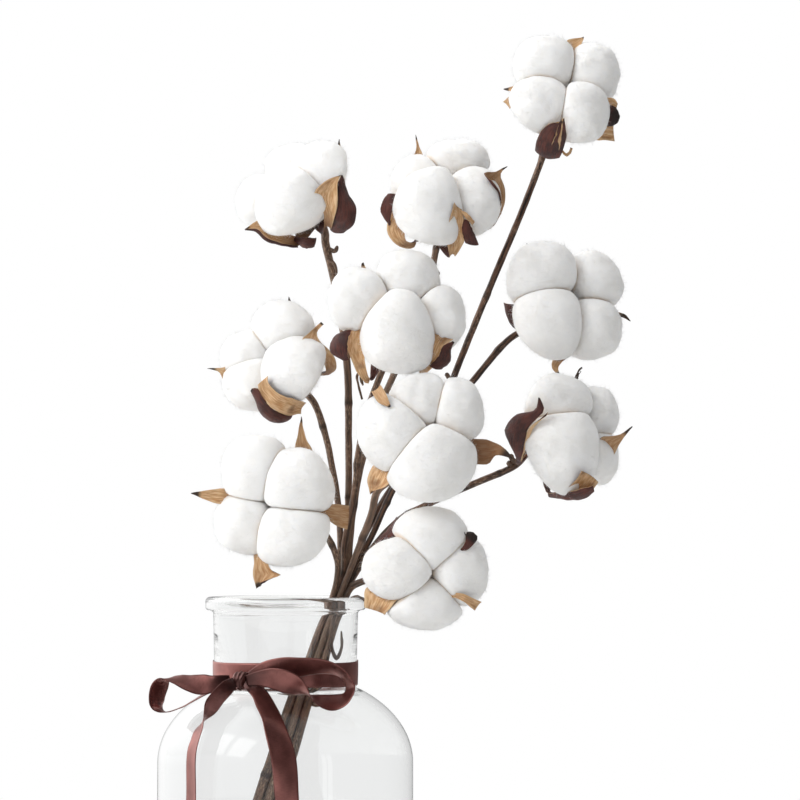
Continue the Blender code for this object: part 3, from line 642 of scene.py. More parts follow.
class Nodes:
    """A short way to write a node tree."""

    def __init__(self, tree: NodeTree) -> None:
        """Write on an existing tree."""
        self.tree = tree

    def add(self, kind: str, **inputs: object) -> bpy.types.Node:
        """Add a node. Names of its properties or inputs, with _ for a space, set values.

        Args:
            kind: node type, which for a shader node is without its prefix.
            inputs: a value, or an output socket to link. A letter and a number mean the input
                with that number.

        Returns:
            The new node.
        """
        node = self.tree.nodes.new(kind if "Node" in kind else "ShaderNode" + kind)
        for key, value in inputs.items():
            if hasattr(node, key):
                setattr(node, key, value)
                continue
            self.feed(node.inputs[int(key[1:]) if key[1:].isdigit() else key.replace("_", " ")],
                      value)
        return node

    def feed(self, socket: NodeSocket, value: object) -> None:
        """Link an output to a socket, or set the socket's own value.

        Args:
            socket: the input.
            value: an output, or a plain value.
        """
        if isinstance(value, NodeSocket):
            self.tree.links.new(value, socket)
        else:
            socket.default_value = value

    def coords(self, kind: str) -> NodeSocket:
        """Texture coordinates of a kind, such as UV or Object."""
        return self.add("TexCoord").outputs[kind]

    def mark(self, name: str) -> NodeSocket:
        """A point attribute as a number."""
        return self.add("Attribute", attribute_name=name).outputs["Fac"]

    def mix(self, share: Feed, first: Feed, second: Feed) -> NodeSocket:
        """Blend two colours."""
        return self.add("Mix", data_type="RGBA", Factor=share, i6=first, i7=second).outputs[2]

    def ramp(self, value: NodeSocket, low: float, high: float,
             to_low: float = 0.0, to_high: float = 1.0) -> NodeSocket:
        """A number taken from one range to another, clamped and eased."""
        return self.add("MapRange", interpolation_type="SMOOTHSTEP", Value=value, From_Min=low,
                        From_Max=high, To_Min=to_low, To_Max=to_high).outputs["Result"]

    def grain(self, vector: NodeSocket, scale: float, stretch: tuple = (1, 1, 1),
              detail: float = 3.0) -> NodeSocket:
        """Noise, stretched along the axes by a Mapping node."""
        placed = self.add("Mapping", Vector=vector, Scale=stretch).outputs[0]
        return self.add("TexNoise", Vector=placed, Scale=scale, Detail=detail).outputs["Fac"]

    def math(self, operation: str, first: Feed, second: Feed = 0.0) -> NodeSocket:
        """One arithmetic step."""
        return self.add("Math", operation=operation, i0=first, i1=second).outputs[0]


class Paint(Nodes):
    """A new material, written round its Principled shader."""

    def __init__(self, name: str) -> None:
        """Start the material.

        Args:
            name: name of the material.
        """
        self.mat = bpy.data.materials.new(name)
        self.mat.use_nodes = True
        super().__init__(self.mat.node_tree)
        self.shader = self.tree.nodes["Principled BSDF"]

    def set(self, **inputs: object) -> None:
        """Set or link the shader's inputs, with _ for a space."""
        for key, value in inputs.items():
            self.feed(self.shader.inputs[key.replace("_", " ")], value)

    def bump(self, height: NodeSocket, strength: float, distance: float) -> None:
        """Feed a height to the shader's normal. Distance is in millimetres."""
        self.set(Normal=self.add("Bump", Strength=strength, Distance=distance * MM,
                                 Height=height).outputs[0])


def rgb(red: float, green: float, blue: float) -> tuple[float, float, float, float]:
    """A linear colour."""
    return red, green, blue, 1.0


# ---------------------------------------------------------------- finishes

@dataclass(frozen=True)
class CottonFinish:
    """Soft matte white fibre, with painted warm shade in the creases where the locks press
    together.
    """

    white: tuple = rgb(0.93, 0.925, 0.915)
    # painted warm shade for the creases between locks and along the bur
    crease_shade: tuple = rgb(0.82, 0.64, 0.47)
    grey: tuple = rgb(0.86, 0.855, 0.84)

    def material(self) -> Material:
        """Build the cotton material.

        Returns:
            The material.
        """
        n = Paint("cotton_fibre")
        spot = n.coords("Object")
        wisps = n.grain(spot, 300.0, (1, 1, 2.2), 6.0)
        tufts = n.grain(spot, 80.0, detail=4.0)
        shade = n.mix(n.ramp(tufts, 0.35, 0.75), self.white, self.grey)
        # painted shade: the seam mark darkens and warms the creases where locks press together and
        # where they lie on the bur
        seam = n.math("MULTIPLY", n.ramp(n.mark("seam"), 0.25, 1.0, 0.0, 0.9),
                      n.ramp(tufts, 0.2, 0.7, 0.6, 1.0))
        n.set(Base_Color=n.mix(seam, shade, self.crease_shade), Roughness=0.95,
              Specular_IOR_Level=0.1, Sheen_Weight=0.2, Sheen_Roughness=0.5,
              Subsurface_Weight=0.6, Subsurface_Radius=(1.0, 0.95, 0.88),
              Subsurface_Scale=3.5 * MM)
        height = n.math("ADD", n.math("MULTIPLY", wisps, 0.6), tufts)
        n.bump(height, 0.45, 1.0)
        return n.mat


@dataclass(frozen=True)
class BurFinish:
    """Papery valve: tan inside, dark red-brown outside, blackened at the point, with painted shade
    near the root where it lies deep in the cotton.
    """

    tan: tuple = rgb(0.54, 0.285, 0.12)
    pale: tuple = rgb(0.80, 0.56, 0.33)
    # brown: blotches and browner blades, and also painted shade near the root
    brown: tuple = rgb(0.20, 0.085, 0.035)
    outside: tuple = rgb(0.038, 0.008, 0.006)
    outside_light: tuple = rgb(0.120, 0.030, 0.020)
    tip: tuple = rgb(0.022, 0.012, 0.009)

    def material(self) -> Material:
        """Build the bur material from the marks on its points.

        Returns:
            The material.
        """
        n = Paint("bur_valve")
        uv, spot = n.coords("UV"), n.coords("Object")
        veins = n.grain(uv, 3.2, (5.0, 0.5, 1.0), 5.0)
        fine = n.grain(uv, 14.0, (5.0, 0.4, 1.0), 3.0)
        blotch = n.grain(spot, 110.0, detail=4.0)
        inside = n.mix(n.ramp(veins, 0.38, 0.66), self.tan, self.pale)
        inside = n.mix(n.ramp(blotch, 0.50, 0.74, 0.0, 0.75), inside, self.brown)
        inside = n.mix(n.ramp(n.mark("rim"), 0.72, 1.0, 0.0, 0.8), inside, self.pale)
        inside = n.mix(n.ramp(n.mark("tone"), 0.0, 1.0, 0.0, 0.8), inside, self.brown)
        inside = n.mix(n.ramp(n.mark("tone"), -1.0, 0.0, 0.85, 0.0), inside, self.pale)
        # painted shade: brown towards the root, where the blade lies deep in the cotton
        inside = n.mix(n.ramp(n.mark("root"), 0.3, 0.75, 0.0, 0.85), inside, self.brown)
        out = n.mix(n.ramp(n.math("ADD", veins, blotch), 0.8, 1.25), self.outside,
                    self.outside_light)
        both = n.mix(n.ramp(n.mark("outer"), 0.3, 0.7), inside, out)
        colour = n.mix(n.ramp(n.mark("point"), 0.25, 0.8, 0.0, 0.95), both, self.tip)
        n.set(Base_Color=colour, Roughness=n.ramp(veins, 0.2, 0.8, 0.38, 0.62),
              Specular_IOR_Level=0.45, Subsurface_Weight=0.05, Subsurface_Scale=0.6 * MM)
        height = n.math("ADD", veins, n.math("MULTIPLY", fine, 0.6))
        n.bump(n.math("ADD", height, blotch), 0.7, 0.6)
        return n.mat


@dataclass(frozen=True)
class BarkFinish:
    """Dry woody stem with long streaks and pale grazed ridges."""

    dark: tuple = rgb(0.020, 0.009, 0.005)
    brown: tuple = rgb(0.145, 0.070, 0.038)
    pale: tuple = rgb(0.52, 0.36, 0.25)
    pith: tuple = rgb(0.55, 0.42, 0.28)

    def material(self) -> Material:
        """Build the bark material. UV runs round the stem and along it.

        Returns:
            The material.
        """
        n = Paint("stem_bark")
        uv, spot = n.coords("UV"), n.coords("Object")
        streaks = n.grain(uv, 2.2, (4.0, 0.30, 1.0), 6.0)
        fine = n.grain(uv, 7.0, (4.0, 0.6, 1.0), 4.0)
        patches = n.grain(spot, 40.0, detail=3.0)
        colour = n.mix(n.ramp(streaks, 0.40, 0.60), self.dark, self.brown)
        grazed = n.math("MULTIPLY", n.ramp(fine, 0.48, 0.66), n.ramp(patches, 0.42, 0.6))
        colour = n.mix(n.math("MULTIPLY", grazed, 0.85), colour, self.pale)
        colour = n.mix(n.ramp(n.mark("tone"), -1.0, 1.0, 0.0, 0.24), colour, self.pale)
        colour = n.mix(n.ramp(n.mark("knot"), 0.2, 0.9, 0.0, 0.7), colour, self.dark)
        colour = n.mix(n.mark("cut"), colour, self.pith)
        n.set(Base_Color=colour, Roughness=n.ramp(fine, 0.3, 0.7, 0.40, 0.62),
              Specular_IOR_Level=0.5)
        n.bump(n.math("ADD", streaks, n.math("MULTIPLY", fine, 0.6)), 0.8, 0.5)
        return n.mat


@dataclass(frozen=True)
class SatinFinish:
    """Dusky red-brown satin: a smooth float of fine threads across the ribbon, with painted shade
    where it is gathered and over the knot.
    """

    deep: tuple = rgb(0.105, 0.030, 0.025)
    mid: tuple = rgb(0.260, 0.094, 0.082)
    # painted shade for the gathered starts of the loops and tails and for the knot
    gathered: tuple = rgb(0.030, 0.008, 0.007)
    lit: tuple = rgb(1.0, 0.60, 0.55)
    sheen: tuple = rgb(0.95, 0.60, 0.55)

    def material(self) -> Material:
        """Build the satin material. UV u runs across the ribbon, v along it.

        Returns:
            The material.
        """
        n = Paint("ribbon_satin")
        uv = n.coords("UV")
        threads = n.grain(uv, 30.0, (0.15, 9.0, 1.0), 2.0)
        drift = n.grain(uv, 1.2, (1.0, 0.6, 1.0), 2.0)
        edge = n.ramp(n.mark("selvedge"), 0.84, 1.0, 0.0, 0.6)
        colour = n.mix(n.ramp(n.math("ADD", threads, drift), 0.75, 1.25), self.deep, self.mid)
        # painted shade: darker where the ribbon is gathered, and over the whole knot
        colour = n.mix(n.ramp(n.mark("fold"), 0.0, 1.0, 0.0, 0.9), colour, self.gathered)
        n.set(Base_Color=n.mix(edge, colour, self.deep), Metallic=0.8, Coat_Weight=0.45,
              Coat_Roughness=0.30, Roughness=n.ramp(threads, 0.3, 0.7, 0.30, 0.38),
              Specular_IOR_Level=0.9, Specular_Tint=self.lit, Anisotropic=0.6,
              Tangent=n.add("Tangent", direction_type="UV_MAP").outputs[0],
              Sheen_Weight=0.04, Sheen_Roughness=0.3, Sheen_Tint=self.sheen)
        n.bump(threads, 0.05, 0.05)
        return n.mat


@dataclass(frozen=True)
class GlassFinish:
    """Clear pressed glass, almost colourless."""

    tint: tuple = rgb(0.99, 0.995, 0.994)

    def material(self) -> Material:
        """Build the glass material.

        Returns:
            The material.
        """
        n = Paint("vase_glass")
        spot = n.coords("Object")
        swirl = n.grain(spot, 26.0, (1, 1, 0.45), 1.0)
        n.set(Base_Color=self.tint, Roughness=0.0, IOR=1.46, Transmission_Weight=1.0,
              Specular_IOR_Level=0.5)
        n.bump(swirl, 0.12, 0.6)
        return n.mat


# ---------------------------------------------------------------- vase

@dataclass
class Bottle:
    """The glass bottle: foot, body, domed shoulder, neck and rolled rim."""

    body_r: float = 63.5
    shoulder_z: float = 109.3
    shoulder_rise: float = 44.5
    corner: float = 25.0
    neck_foot_r: float = 35.3
    neck_top_r: float = 36.0
    rim_r: float = 39.9
    rim_bottom: float = 185.0
    top: float = 191.3
    wall: float = 2.6
    neck_wall: float = 1.7
    floor: float = 4.0
    sides: int = 160

    def arc(self, cx: float, cz: float, rx: float, rz: float, start: float, stop: float,
            steps: int) -> list[tuple[float, float]]:
        """Points along an ellipse's arc in the (radius, height) plane."""
        turns = np.radians(np.linspace(start, stop, steps + 1))
        return [(cx + rx * math.cos(t), cz + rz * math.sin(t)) for t in turns]

    def outer(self) -> list[tuple[float, float]]:
        """Outer profile, from the middle of the foot to the top of the rim.

        Returns:
            Points as (radius, height).
        """
        turn = math.degrees(math.acos(self.neck_foot_r / self.body_r))
        line = [(0.0, 1.2), (26.0, 1.0), (30.0, 0.4), (33.0, 0.0)]
        line += self.arc(self.body_r - self.corner, self.corner, self.corner, self.corner,
                         -90, 0, 14)
        dome = self.arc(0, self.shoulder_z, self.body_r, self.shoulder_rise, 0, turn, 26)
        line += dome[:-1]
        fillet = dome[-1]
        line += [(fillet[0] + 1.2, fillet[1] - 1.3), (fillet[0] + 0.7, fillet[1] - 0.9),
                 (fillet[0] + 0.15, fillet[1] + 0.1), (fillet[0], fillet[1] + 1.4)]
        line += [(self.neck_top_r, self.rim_bottom - 2.2),
                 (self.neck_top_r + 0.25, self.rim_bottom - 1.1)]
        bead = self.rim_r - self.neck_top_r
        line += self.arc(self.neck_top_r + bead - 1.5, self.rim_bottom + 1.3, 1.5, 1.5, -110, 0, 6)
        line += self.arc(self.rim_r - 2.2, self.top - 2.2, 2.2, 2.2, 0, 90, 8)
        return line

    def inner(self) -> list[tuple[float, float]]:
        """Inner profile, from the top of the rim down to the middle of the floor.

        Returns:
            Points as (radius, height).
        """
        inner_r = self.body_r - self.wall
        neck = self.neck_top_r - self.neck_wall
        neck_foot = self.neck_foot_r - self.neck_wall
        corner = self.corner - self.wall
        turn = math.degrees(math.acos(neck_foot / inner_r))
        line = self.arc(neck + 2.0, self.top - 2.0, 2.0, 2.0, 90, 180, 6)
        line += [(neck, self.rim_bottom - 6.0)]
        line += self.arc(0, self.shoulder_z, inner_r, self.shoulder_rise - self.wall, turn, 0, 26)
        line += self.arc(inner_r - corner, corner + self.floor, corner, corner, 0, -90, 14)
        return line + [(0.0, self.floor)]

    def build(self, glass: Material) -> None:
        """Turn the wall's whole profile round Z into one closed solid.

        Args:
            glass: its material.
        """
        profile = self.outer() + self.inner()
        shape = Shape()
        ids = shape.add_grid(np.array([[(x, y, z) for x, y in circle(r, self.sides)]
                                       for r, z in profile[1:-1]]), wrap=True)
        for end in (0, -1):
            shape.fan(ids[end], (0.0, 0.0, profile[end][1]))
        present(shape.build("glass_bottle", glass, recalc=True), "glass", "vase_foot",
                "vase_wall", "vase_shoulder", "vase_neck")


# ---------------------------------------------------------------- ribbon

class Hold(Enum):
    """How a length of the ribbon is held."""

    ROUND_NECK = "stretched"
    IN_KNOT = "folded"
    HANGING = "hung"


@dataclass(frozen=True)
class Strip:
    """A length of ribbon.

    Each station gives its middle, the way its width points and the share of its width that is
    spread out there, which is small where the knot gathers it. Slanted is how far one corner
    of the cut end runs past the other.
    """

    name: str
    node: str
    hold: Hold
    stations: tuple
    slanted: float = 0.0


STRIPS = (
    Strip("satin_loop_right", "ribbon_loop_right", Hold.IN_KNOT, (
        ((-17.5, -37, 152.3), (0, 0, 1), 0.4), ((-8.7, -41, 155.2), (0, -0.1, 1), 0.9),
        ((0.2, -43, 157.2), (0, -0.3, 0.95), 1), ((8.5, -45, 158.3), (0, -0.6, 0.8), 1),
        ((17.7, -45.5, 158.7), (0, -0.76, 0.65), 1), ((25, -45, 157.2), (0.05, -0.86, 0.5), 1),
        ((30.5, -44, 153.6), (0.25, -0.93, 0.25), 1), ((33, -43.5, 148.2), (0.4, -0.92, 0), 1),
        ((30.8, -43.5, 143.4), (0.15, -0.92, -0.4), 1), ((25, -43.5, 141.2), (0, -0.8, -0.6), 1),
        ((19.1, -44, 141.9), (0, -0.88, -0.46), 1), ((13.8, -45, 143.9), (0, -1, -0.05), 1),
        ((8.6, -46.5, 147.4), (0, -0.75, 0.65), 1), ((2.8, -48, 151), (0, -0.35, 0.94), 1),
        ((-4.5, -47, 152.9), (0, -0.1, 1), 0.85), ((-11.4, -43.5, 152.8), (0, -0.1, 1), 0.6),
        ((-17.6, -39.5, 151.6), (0, -0.1, 1), 0.4))),
    Strip("satin_loop_left", "ribbon_loop_left", Hold.IN_KNOT, (
        ((-25.5, -34.5, 151.6), (0, 0.1, 1), 0.4), ((-33.7, -37, 149.8), (0, 0.55, 0.83), 0.8),
        ((-39.1, -36.5, 149.5), (0, 0.62, 0.78), 1), ((-45.5, -35, 150.5), (0, 0.8, 0.6), 1),
        ((-51.6, -33, 152.1), (0.1, 0.93, 0.3), 1), ((-57.1, -31, 152.3), (0.4, 0.9, 0), 1),
        ((-59.8, -30.5, 149), (0.66, 0.75, 0), 1), ((-61.5, -30.5, 143.6), (0.6, 0.8, 0), 1),
        ((-61.2, -30.5, 138.7), (0.45, 0.87, -0.05), 1),
        ((-58.1, -30.5, 135.8), (0.1, 1, -0.05), 1), ((-49.7, -31, 138), (-0.07, 1, -0.05), 1),
        ((-43.8, -32, 141.3), (-0.05, 1, 0), 1), ((-36.3, -34, 145.5), (0, 1, 0.1), 0.8),
        ((-26.5, -34.6, 149.6), (0, 0.9, 0.3), 0.4))),
    Strip("satin_tail_right", "ribbon_tail_right", Hold.HANGING, (
        ((-18.6, -37.5, 151), (0.3, 0.2, 0.9), 0.4), ((-15.2, -39, 149.2), (0.6, 0.4, 0.65), 0.55),
        ((-12.4, -42, 147), (0.6, 0.65, 0.4), 0.7), ((-9.6, -46, 143.8), (0.62, 0.76, 0.2), 0.85),
        ((-7.2, -51, 139.6), (0.68, 0.73, 0.08), 1), ((-4, -57, 133.8), (0.78, 0.62, 0), 1),
        ((-1.8, -61, 127.4), (0.9, 0.42, 0), 1), ((1.6, -66, 115.9), (0.98, 0.1, 0), 1),
        ((3.3, -67, 96.9), (0.96, -0.28, 0), 1), ((4.9, -66, 73.9), (0.97, -0.2, 0), 1),
        ((6.3, -65.5, 46), (0.98, -0.1, 0), 1)), slanted=5),
    Strip("satin_tail_left", "ribbon_tail_left", Hold.HANGING, (
        ((-23, -37.5, 151), (0.66, -0.1, -0.74), 0.4),
        ((-26.2, -40.5, 148.6), (0.5, 0.3, -0.72), 0.62),
        ((-30, -43, 144.8), (0.36, 0.58, -0.72), 0.8),
        ((-34.2, -45.5, 139.4), (0.32, 0.64, -0.66), 0.9),
        ((-37.6, -47.8, 134), (-0.05, 0.92, -0.32), 0.95), ((-39.8, -50, 129), (-0.3, 0.95, 0), 1),
        ((-41.4, -52, 124), (-0.36, 0.93, 0), 1), ((-42.7, -53, 119.3), (-0.4, 0.91, 0), 1),
        ((-43.2, -53.5, 114), (-0.42, 0.91, 0), 1), ((-43.2, -52.5, 95.6), (-0.44, 0.9, 0), 1),
        ((-44.3, -51.5, 75.7), (-0.5, 0.86, 0), 1), ((-45.6, -50.8, 52), (-0.6, 0.8, 0), 1)),
        slanted=5),
)


@dataclass
class Bow:
    """The satin ribbon: a band round the neck, a knot, two loops and two tails."""

    width: float = 12.0
    thick: float = 0.28
    columns: int = 12
    # how fast the painted shade deepens as the knot draws the ribbon narrow
    gather_shade: float = 1.6
    slant_rows: int = 8
    band_bottom: float = 147.7
    band_gap: float = 0.55
    band_wave: float = 0.25
    neck_tall: float = 38.0
    knot_at: tuple = (-20.8, -35.4, 151.2)
    knot_up: float = 4.6
    knot_out: float = 3.6
    knot_half: float = 3.0
    knot_run: float = 26.0
    knot_lean: float = 0.9
    knot_grid: tuple[int, int] = (72, 20)
    pleat_deep: float = 0.28
    pleats: float = 9.0
    band_sides: int = 144
    step: float = 0.8

    def sweep(self, name: str, centres: np.ndarray, acrosses: np.ndarray,
              satin: Material, closed: bool = False, slant: float = 0.0,
              crown: float = 0.25, fold_shades: np.ndarray | None = None) -> Object:
        """Sweep the ribbon's thin section along a line.

        Args:
            name: name of the piece.
            centres: (n, 3) centre line.
            acrosses: (n, 3) directions of the width, with their lengths as half widths.
            satin: its material.
            closed: True where the last section meets the first.
            slant: how far one edge of the free end runs past the other.
            crown: bow of the section, in millimetres.
            fold_shades: strength of the painted shade at each place, from 0 to 1, deepest where
                the ribbon is gathered.

        Returns:
            The ribbon as one closed sheet.
        """
        count, ways = len(centres), tangents(centres, closed)
        span = np.linspace(-1, 1, self.columns + 1)
        marks = {"selvedge": np.abs(span)}
        # painted shade along the length, where it is given
        if fold_shades is not None:
            marks["fold"] = fold_shades[:, None]
        sheets, shape = [], Shape()
        for side in (1, -1):
            grid = np.zeros((count, len(span), 3))
            for k, way in enumerate(ways):
                normal = unit(np.cross(way, acrosses[k]))
                ease = max(0.0, 1 - (count - 1 - k) / self.slant_rows) if slant else 0.0
                for c, s in enumerate(span):
                    lift = crown * (1 - s * s) + side * self.thick / 2
                    grid[k, c] = (centres[k] + acrosses[k] * s + normal * lift
                                  + way * slant * s * ease)
            if closed:
                grid = np.concatenate([grid, grid[:1]])
            sheets.append(shape.add_grid(grid, marks, flip=side < 0,
                                         v_scale=hops(centres).sum() / self.width))
        top, under = sheets
        shape.add_strip(top[:, 0][::-1], under[:, 0][::-1])
        shape.add_strip(top[:, -1], under[:, -1])
        if not closed:
            shape.add_strip(top[0], under[0])
            shape.add_strip(top[-1][::-1], under[-1][::-1])
        return shape.build(name, satin, recalc=True, weld=closed)

    def declare(self, piece: Object, node: str) -> None:
        """Args:
            piece: the length of ribbon.
            node: part node that it stands for.
        """
        present(piece, "ribbon", node)

    def strip(self, plan: Strip, satin: Material) -> None:
        """One loop or tail, declared as a sheet of its own length.

        Args:
            plan: its line and its names.
            satin: its material.
        """
        line = smooth_line([[*place, *unit(np.array(way, float)), share]
                            for place, way, share in plan.stations], self.step)
        centres, ways, shares = line[:, :3], line[:, 3:6], line[:, 6]
        acrosses = [unit(way - tangent * way.dot(tangent)) * share * self.width / 2
                    for way, tangent, share in zip(ways, tangents(centres), shares)]
        # the narrower the knot draws the ribbon, the deeper its painted shade
        piece = self.sweep(plan.name, centres, np.array(acrosses), satin, slant=plan.slanted,
                           fold_shades=np.clip((1 - shares) * self.gather_shade, 0, 1))
        self.declare(piece, plan.node)

    def band(self, bottle: Bottle, satin: Material) -> None:
        """The turn round the neck, following its slight taper.

        Args:
            bottle: the bottle that it goes round.
            satin: its material.
        """
        turns = np.linspace(0, 2 * math.pi, self.band_sides, endpoint=False)
        low = bottle.neck_foot_r + self.band_gap
        high = low + (bottle.neck_top_r - bottle.neck_foot_r) * self.width / self.neck_tall
        middle, lean = (low + high) / 2, (high - low) / 2
        rise = self.band_bottom + self.width / 2
        centres = np.array([(middle * math.cos(t), middle * math.sin(t),
                             rise + self.band_wave * math.sin(3 * t)) for t in turns])
        acrosses = np.array([(lean * math.cos(t), lean * math.sin(t), self.width / 2)
                             for t in turns])
        piece = self.sweep("satin_band", centres, acrosses, satin, closed=True, crown=0.1)
        self.declare(piece, "ribbon_band")

    def knot(self, satin: Material) -> None:
        """The knot: the ribbon gathered narrow and wrapped over itself from top to bottom.

        Args:
            satin: its material.
        """
        out = unit(np.array([*self.knot_at[:2], 0.0]))
        along, up = np.array([-out[1], out[0], 0.0]), np.array([0.0, 0.0, 1.0])
        rows, cols = self.knot_grid
        span = np.linspace(-1, 1, cols + 1)
        grid = np.zeros((rows + 1, cols + 1, 3))
        for r in range(rows):
            turn = 2 * math.pi * r / rows
            lean = math.sin(turn)
            rise, bulge = self.knot_up * lean, self.knot_out * math.cos(turn)
            pinch = self.knot_half + self.knot_lean * lean ** 2
            for c, s in enumerate(span):
                pleat = self.pleat_deep * math.sin(s * self.pleats + 1.2 * lean) * (1 - s * s)
                swell = 1 - 0.22 * s ** 4 + pleat / 4
                grid[r, c] = (np.array(self.knot_at) + (up * rise + out * bulge) * swell
                              + along * (s * pinch + self.knot_lean * lean))
        grid[-1] = grid[0]
        shape = Shape()
        # the whole knot takes painted shade
        ids = shape.add_grid(grid, {"selvedge": np.abs(span), "fold": 0.75},
                             v_scale=self.knot_run / self.width)
        shape.cap_ends(ids[:-1].T)
        present(shape.build("satin_knot", satin, recalc=True, weld=True), "ribbon",
                "ribbon_knot")

    def build(self, bottle: Bottle, satin: Material) -> None:
        """Make every length of the ribbon.

        Args:
            bottle: the bottle that the bow is tied on.
            satin: its material.
        """
        self.band(bottle, satin)
        self.knot(satin)
        for plan in STRIPS:
            self.strip(plan, satin)


# ---------------------------------------------------------------- stems and burs

@dataclass
class BurMaker:
    """Builds the dry bur: a small cup with thin dry blades that open from its rim."""

    depth: float = 21.0
    bowl: float = 0.023
    thick: float = 0.5
    cup: float = 12.5
    cup_sides: int = 32
    cup_rings: int = 8
    spread: float = 38.0
    rows: int = 30
    columns: int = 12
    cupping: float = 0.17
    lip: float = 0.3
    step: float = 0.5
    jag: float = 0.35
    jag_wave: float = 2.2
    crumple: float = 0.4
    crumple_wave: float = 4.0

    def dish(self, radius: float) -> float:
        """Depth of the cup's underside at a distance from its middle."""
        return -self.depth + self.bowl * radius * radius

    def edges(self, plan: BollPlan, blade: Blade) -> tuple[np.ndarray, np.ndarray]:
        """The blade's two edges, sampled in step with each other.

        Args:
            plan: the boll.
            blade: one of its blades.

        Returns:
            Two (rows, 3) arrays.
        """
        sides = [[np.array([x, -forward, z]) + np.array(plan.at) for x, z, forward in edge]
                 for edge in (blade.first, blade.second)]
        if blade.root is not None:
            ends = []
            for angle in (blade.root - self.spread, blade.root + self.spread):
                turn = math.radians(angle)
                ends.append(plan.place((self.cup * math.cos(turn), self.cup * math.sin(turn),
                                        self.dish(self.cup) + self.lip))[0])
            straight, crossed = (sum(np.linalg.norm(end - side[0])
                                     for end, side in zip(pair, sides))
                                 for pair in (ends, ends[::-1]))
            if crossed < straight:
                ends.reverse()
            sides = [[end, *side] for end, side in zip(ends, sides)]
        out = []
        for side in sides:
            line = smooth_line(side, self.step)
            spots = np.linspace(0, len(line) - 1, self.rows)
            out.append(np.stack([np.interp(spots, np.arange(len(line)), column)
                                 for column in line.T], axis=1))
        return out[0], out[1]

    def blade(self, shape: Shape, plan: BollPlan, blade: Blade, seed: float) -> None:
        """Add one blade as a thin closed shell, tan on its inner face and dark outside.

        Args:
            shape: the stem's shape, which takes the blade.
            plan: the boll.
            blade: one of its blades.
            seed: picks the noise of its edges and face.
        """
        first, second = self.edges(plan, blade)
        span = np.linspace(0, 1, self.columns + 1)
        middle = np.zeros((self.rows, len(span), 3))
        for r, (near, far) in enumerate(zip(first, second)):
            jags = [self.jag * ripple((r * 0.9, side * 7.0, seed), self.jag_wave, seed)
                    for side in (1, 2)]
            way = unit(far - near)
            near, far = near - way * jags[0], far + way * jags[1]
            middle[r] = near + (far - near) * span[:, None]
        normal = np.cross(np.gradient(middle, axis=0), np.gradient(middle, axis=1))
        normal /= np.maximum(np.linalg.norm(normal, axis=2, keepdims=True), 1e-9)
        if normal[self.rows * 2 // 3:, len(span) // 2, 1].mean() > 0:
            normal = -normal
        front = -1.0 if blade.side is IN else 1.0
        width = np.linalg.norm(second - first, axis=1)[:, None, None]
        bow = (1 - (2 * span - 1) ** 2)[None, :, None]
        swell = normal * bow * width * self.cupping * front
        for spot in np.ndindex(middle.shape[:2]):
            swell[spot] += normal[spot] * self.crumple * ripple(middle[spot], self.crumple_wave,
                                                                seed)
        middle = middle + swell
        thick = self.thick * (0.6 + 0.4 * bow)
        gap = np.linalg.norm(middle - (middle[-1, 0] + middle[-1, -1]) / 2, axis=2)
        # root falls from 1 at the cup to 0 along the blade, and sets its painted shade
        rooted = 0.0 if blade.root is None else np.linspace(1, 0, self.rows)[:, None]
        marks = {"point": np.clip(1.4 - gap / blade.dark, 0, 1), "rim": np.abs(2 * span - 1),
                 "root": rooted, "tone": blade.tone}
        length = float(hops(middle[:, 0]).sum())
        low, high = (shape.add_grid(middle + normal * thick / 2 * front * side,
                                    {**marks, "outer": outer}, v_scale=length / V_UNIT)
                     for side, outer in ((1, 1.0), (-1, 0.0)))
        for pair in ((low[:, 0], high[:, 0]), (high[:, -1], low[:, -1]), (high[0], low[0]),
                     (low[-1], high[-1])):
            shape.add_strip(*pair)

    def build(self, plan: BollPlan, shape: Shape) -> None:
        """Add a boll's cup and blades to its stem's shape.

        Args:
            plan: the boll.
            shape: the stem's shape.
        """
        radii = np.linspace(1.0, self.cup + 0.5, self.cup_rings)
        grid = np.array([[(x, y, self.dish(r) + lift) for x, y in circle(r, self.cup_sides)]
                         for lift, way in ((0.0, 1), (self.thick, -1)) for r in radii[::way]])
        placed = plan.place(grid.reshape(-1, 3)).reshape(grid.shape)
        outer = np.repeat([1.0, 0.0], self.cup_rings)[:, None]
        # the cup deep in the cotton takes the full painted shade
        shape.cap_ends(shape.add_grid(placed, {"outer": outer, "root": 1.0}, wrap=True))
        for index, blade in enumerate(plan.blades):
            self.blade(shape, plan, blade, 3.7 * index + ord(plan.name))


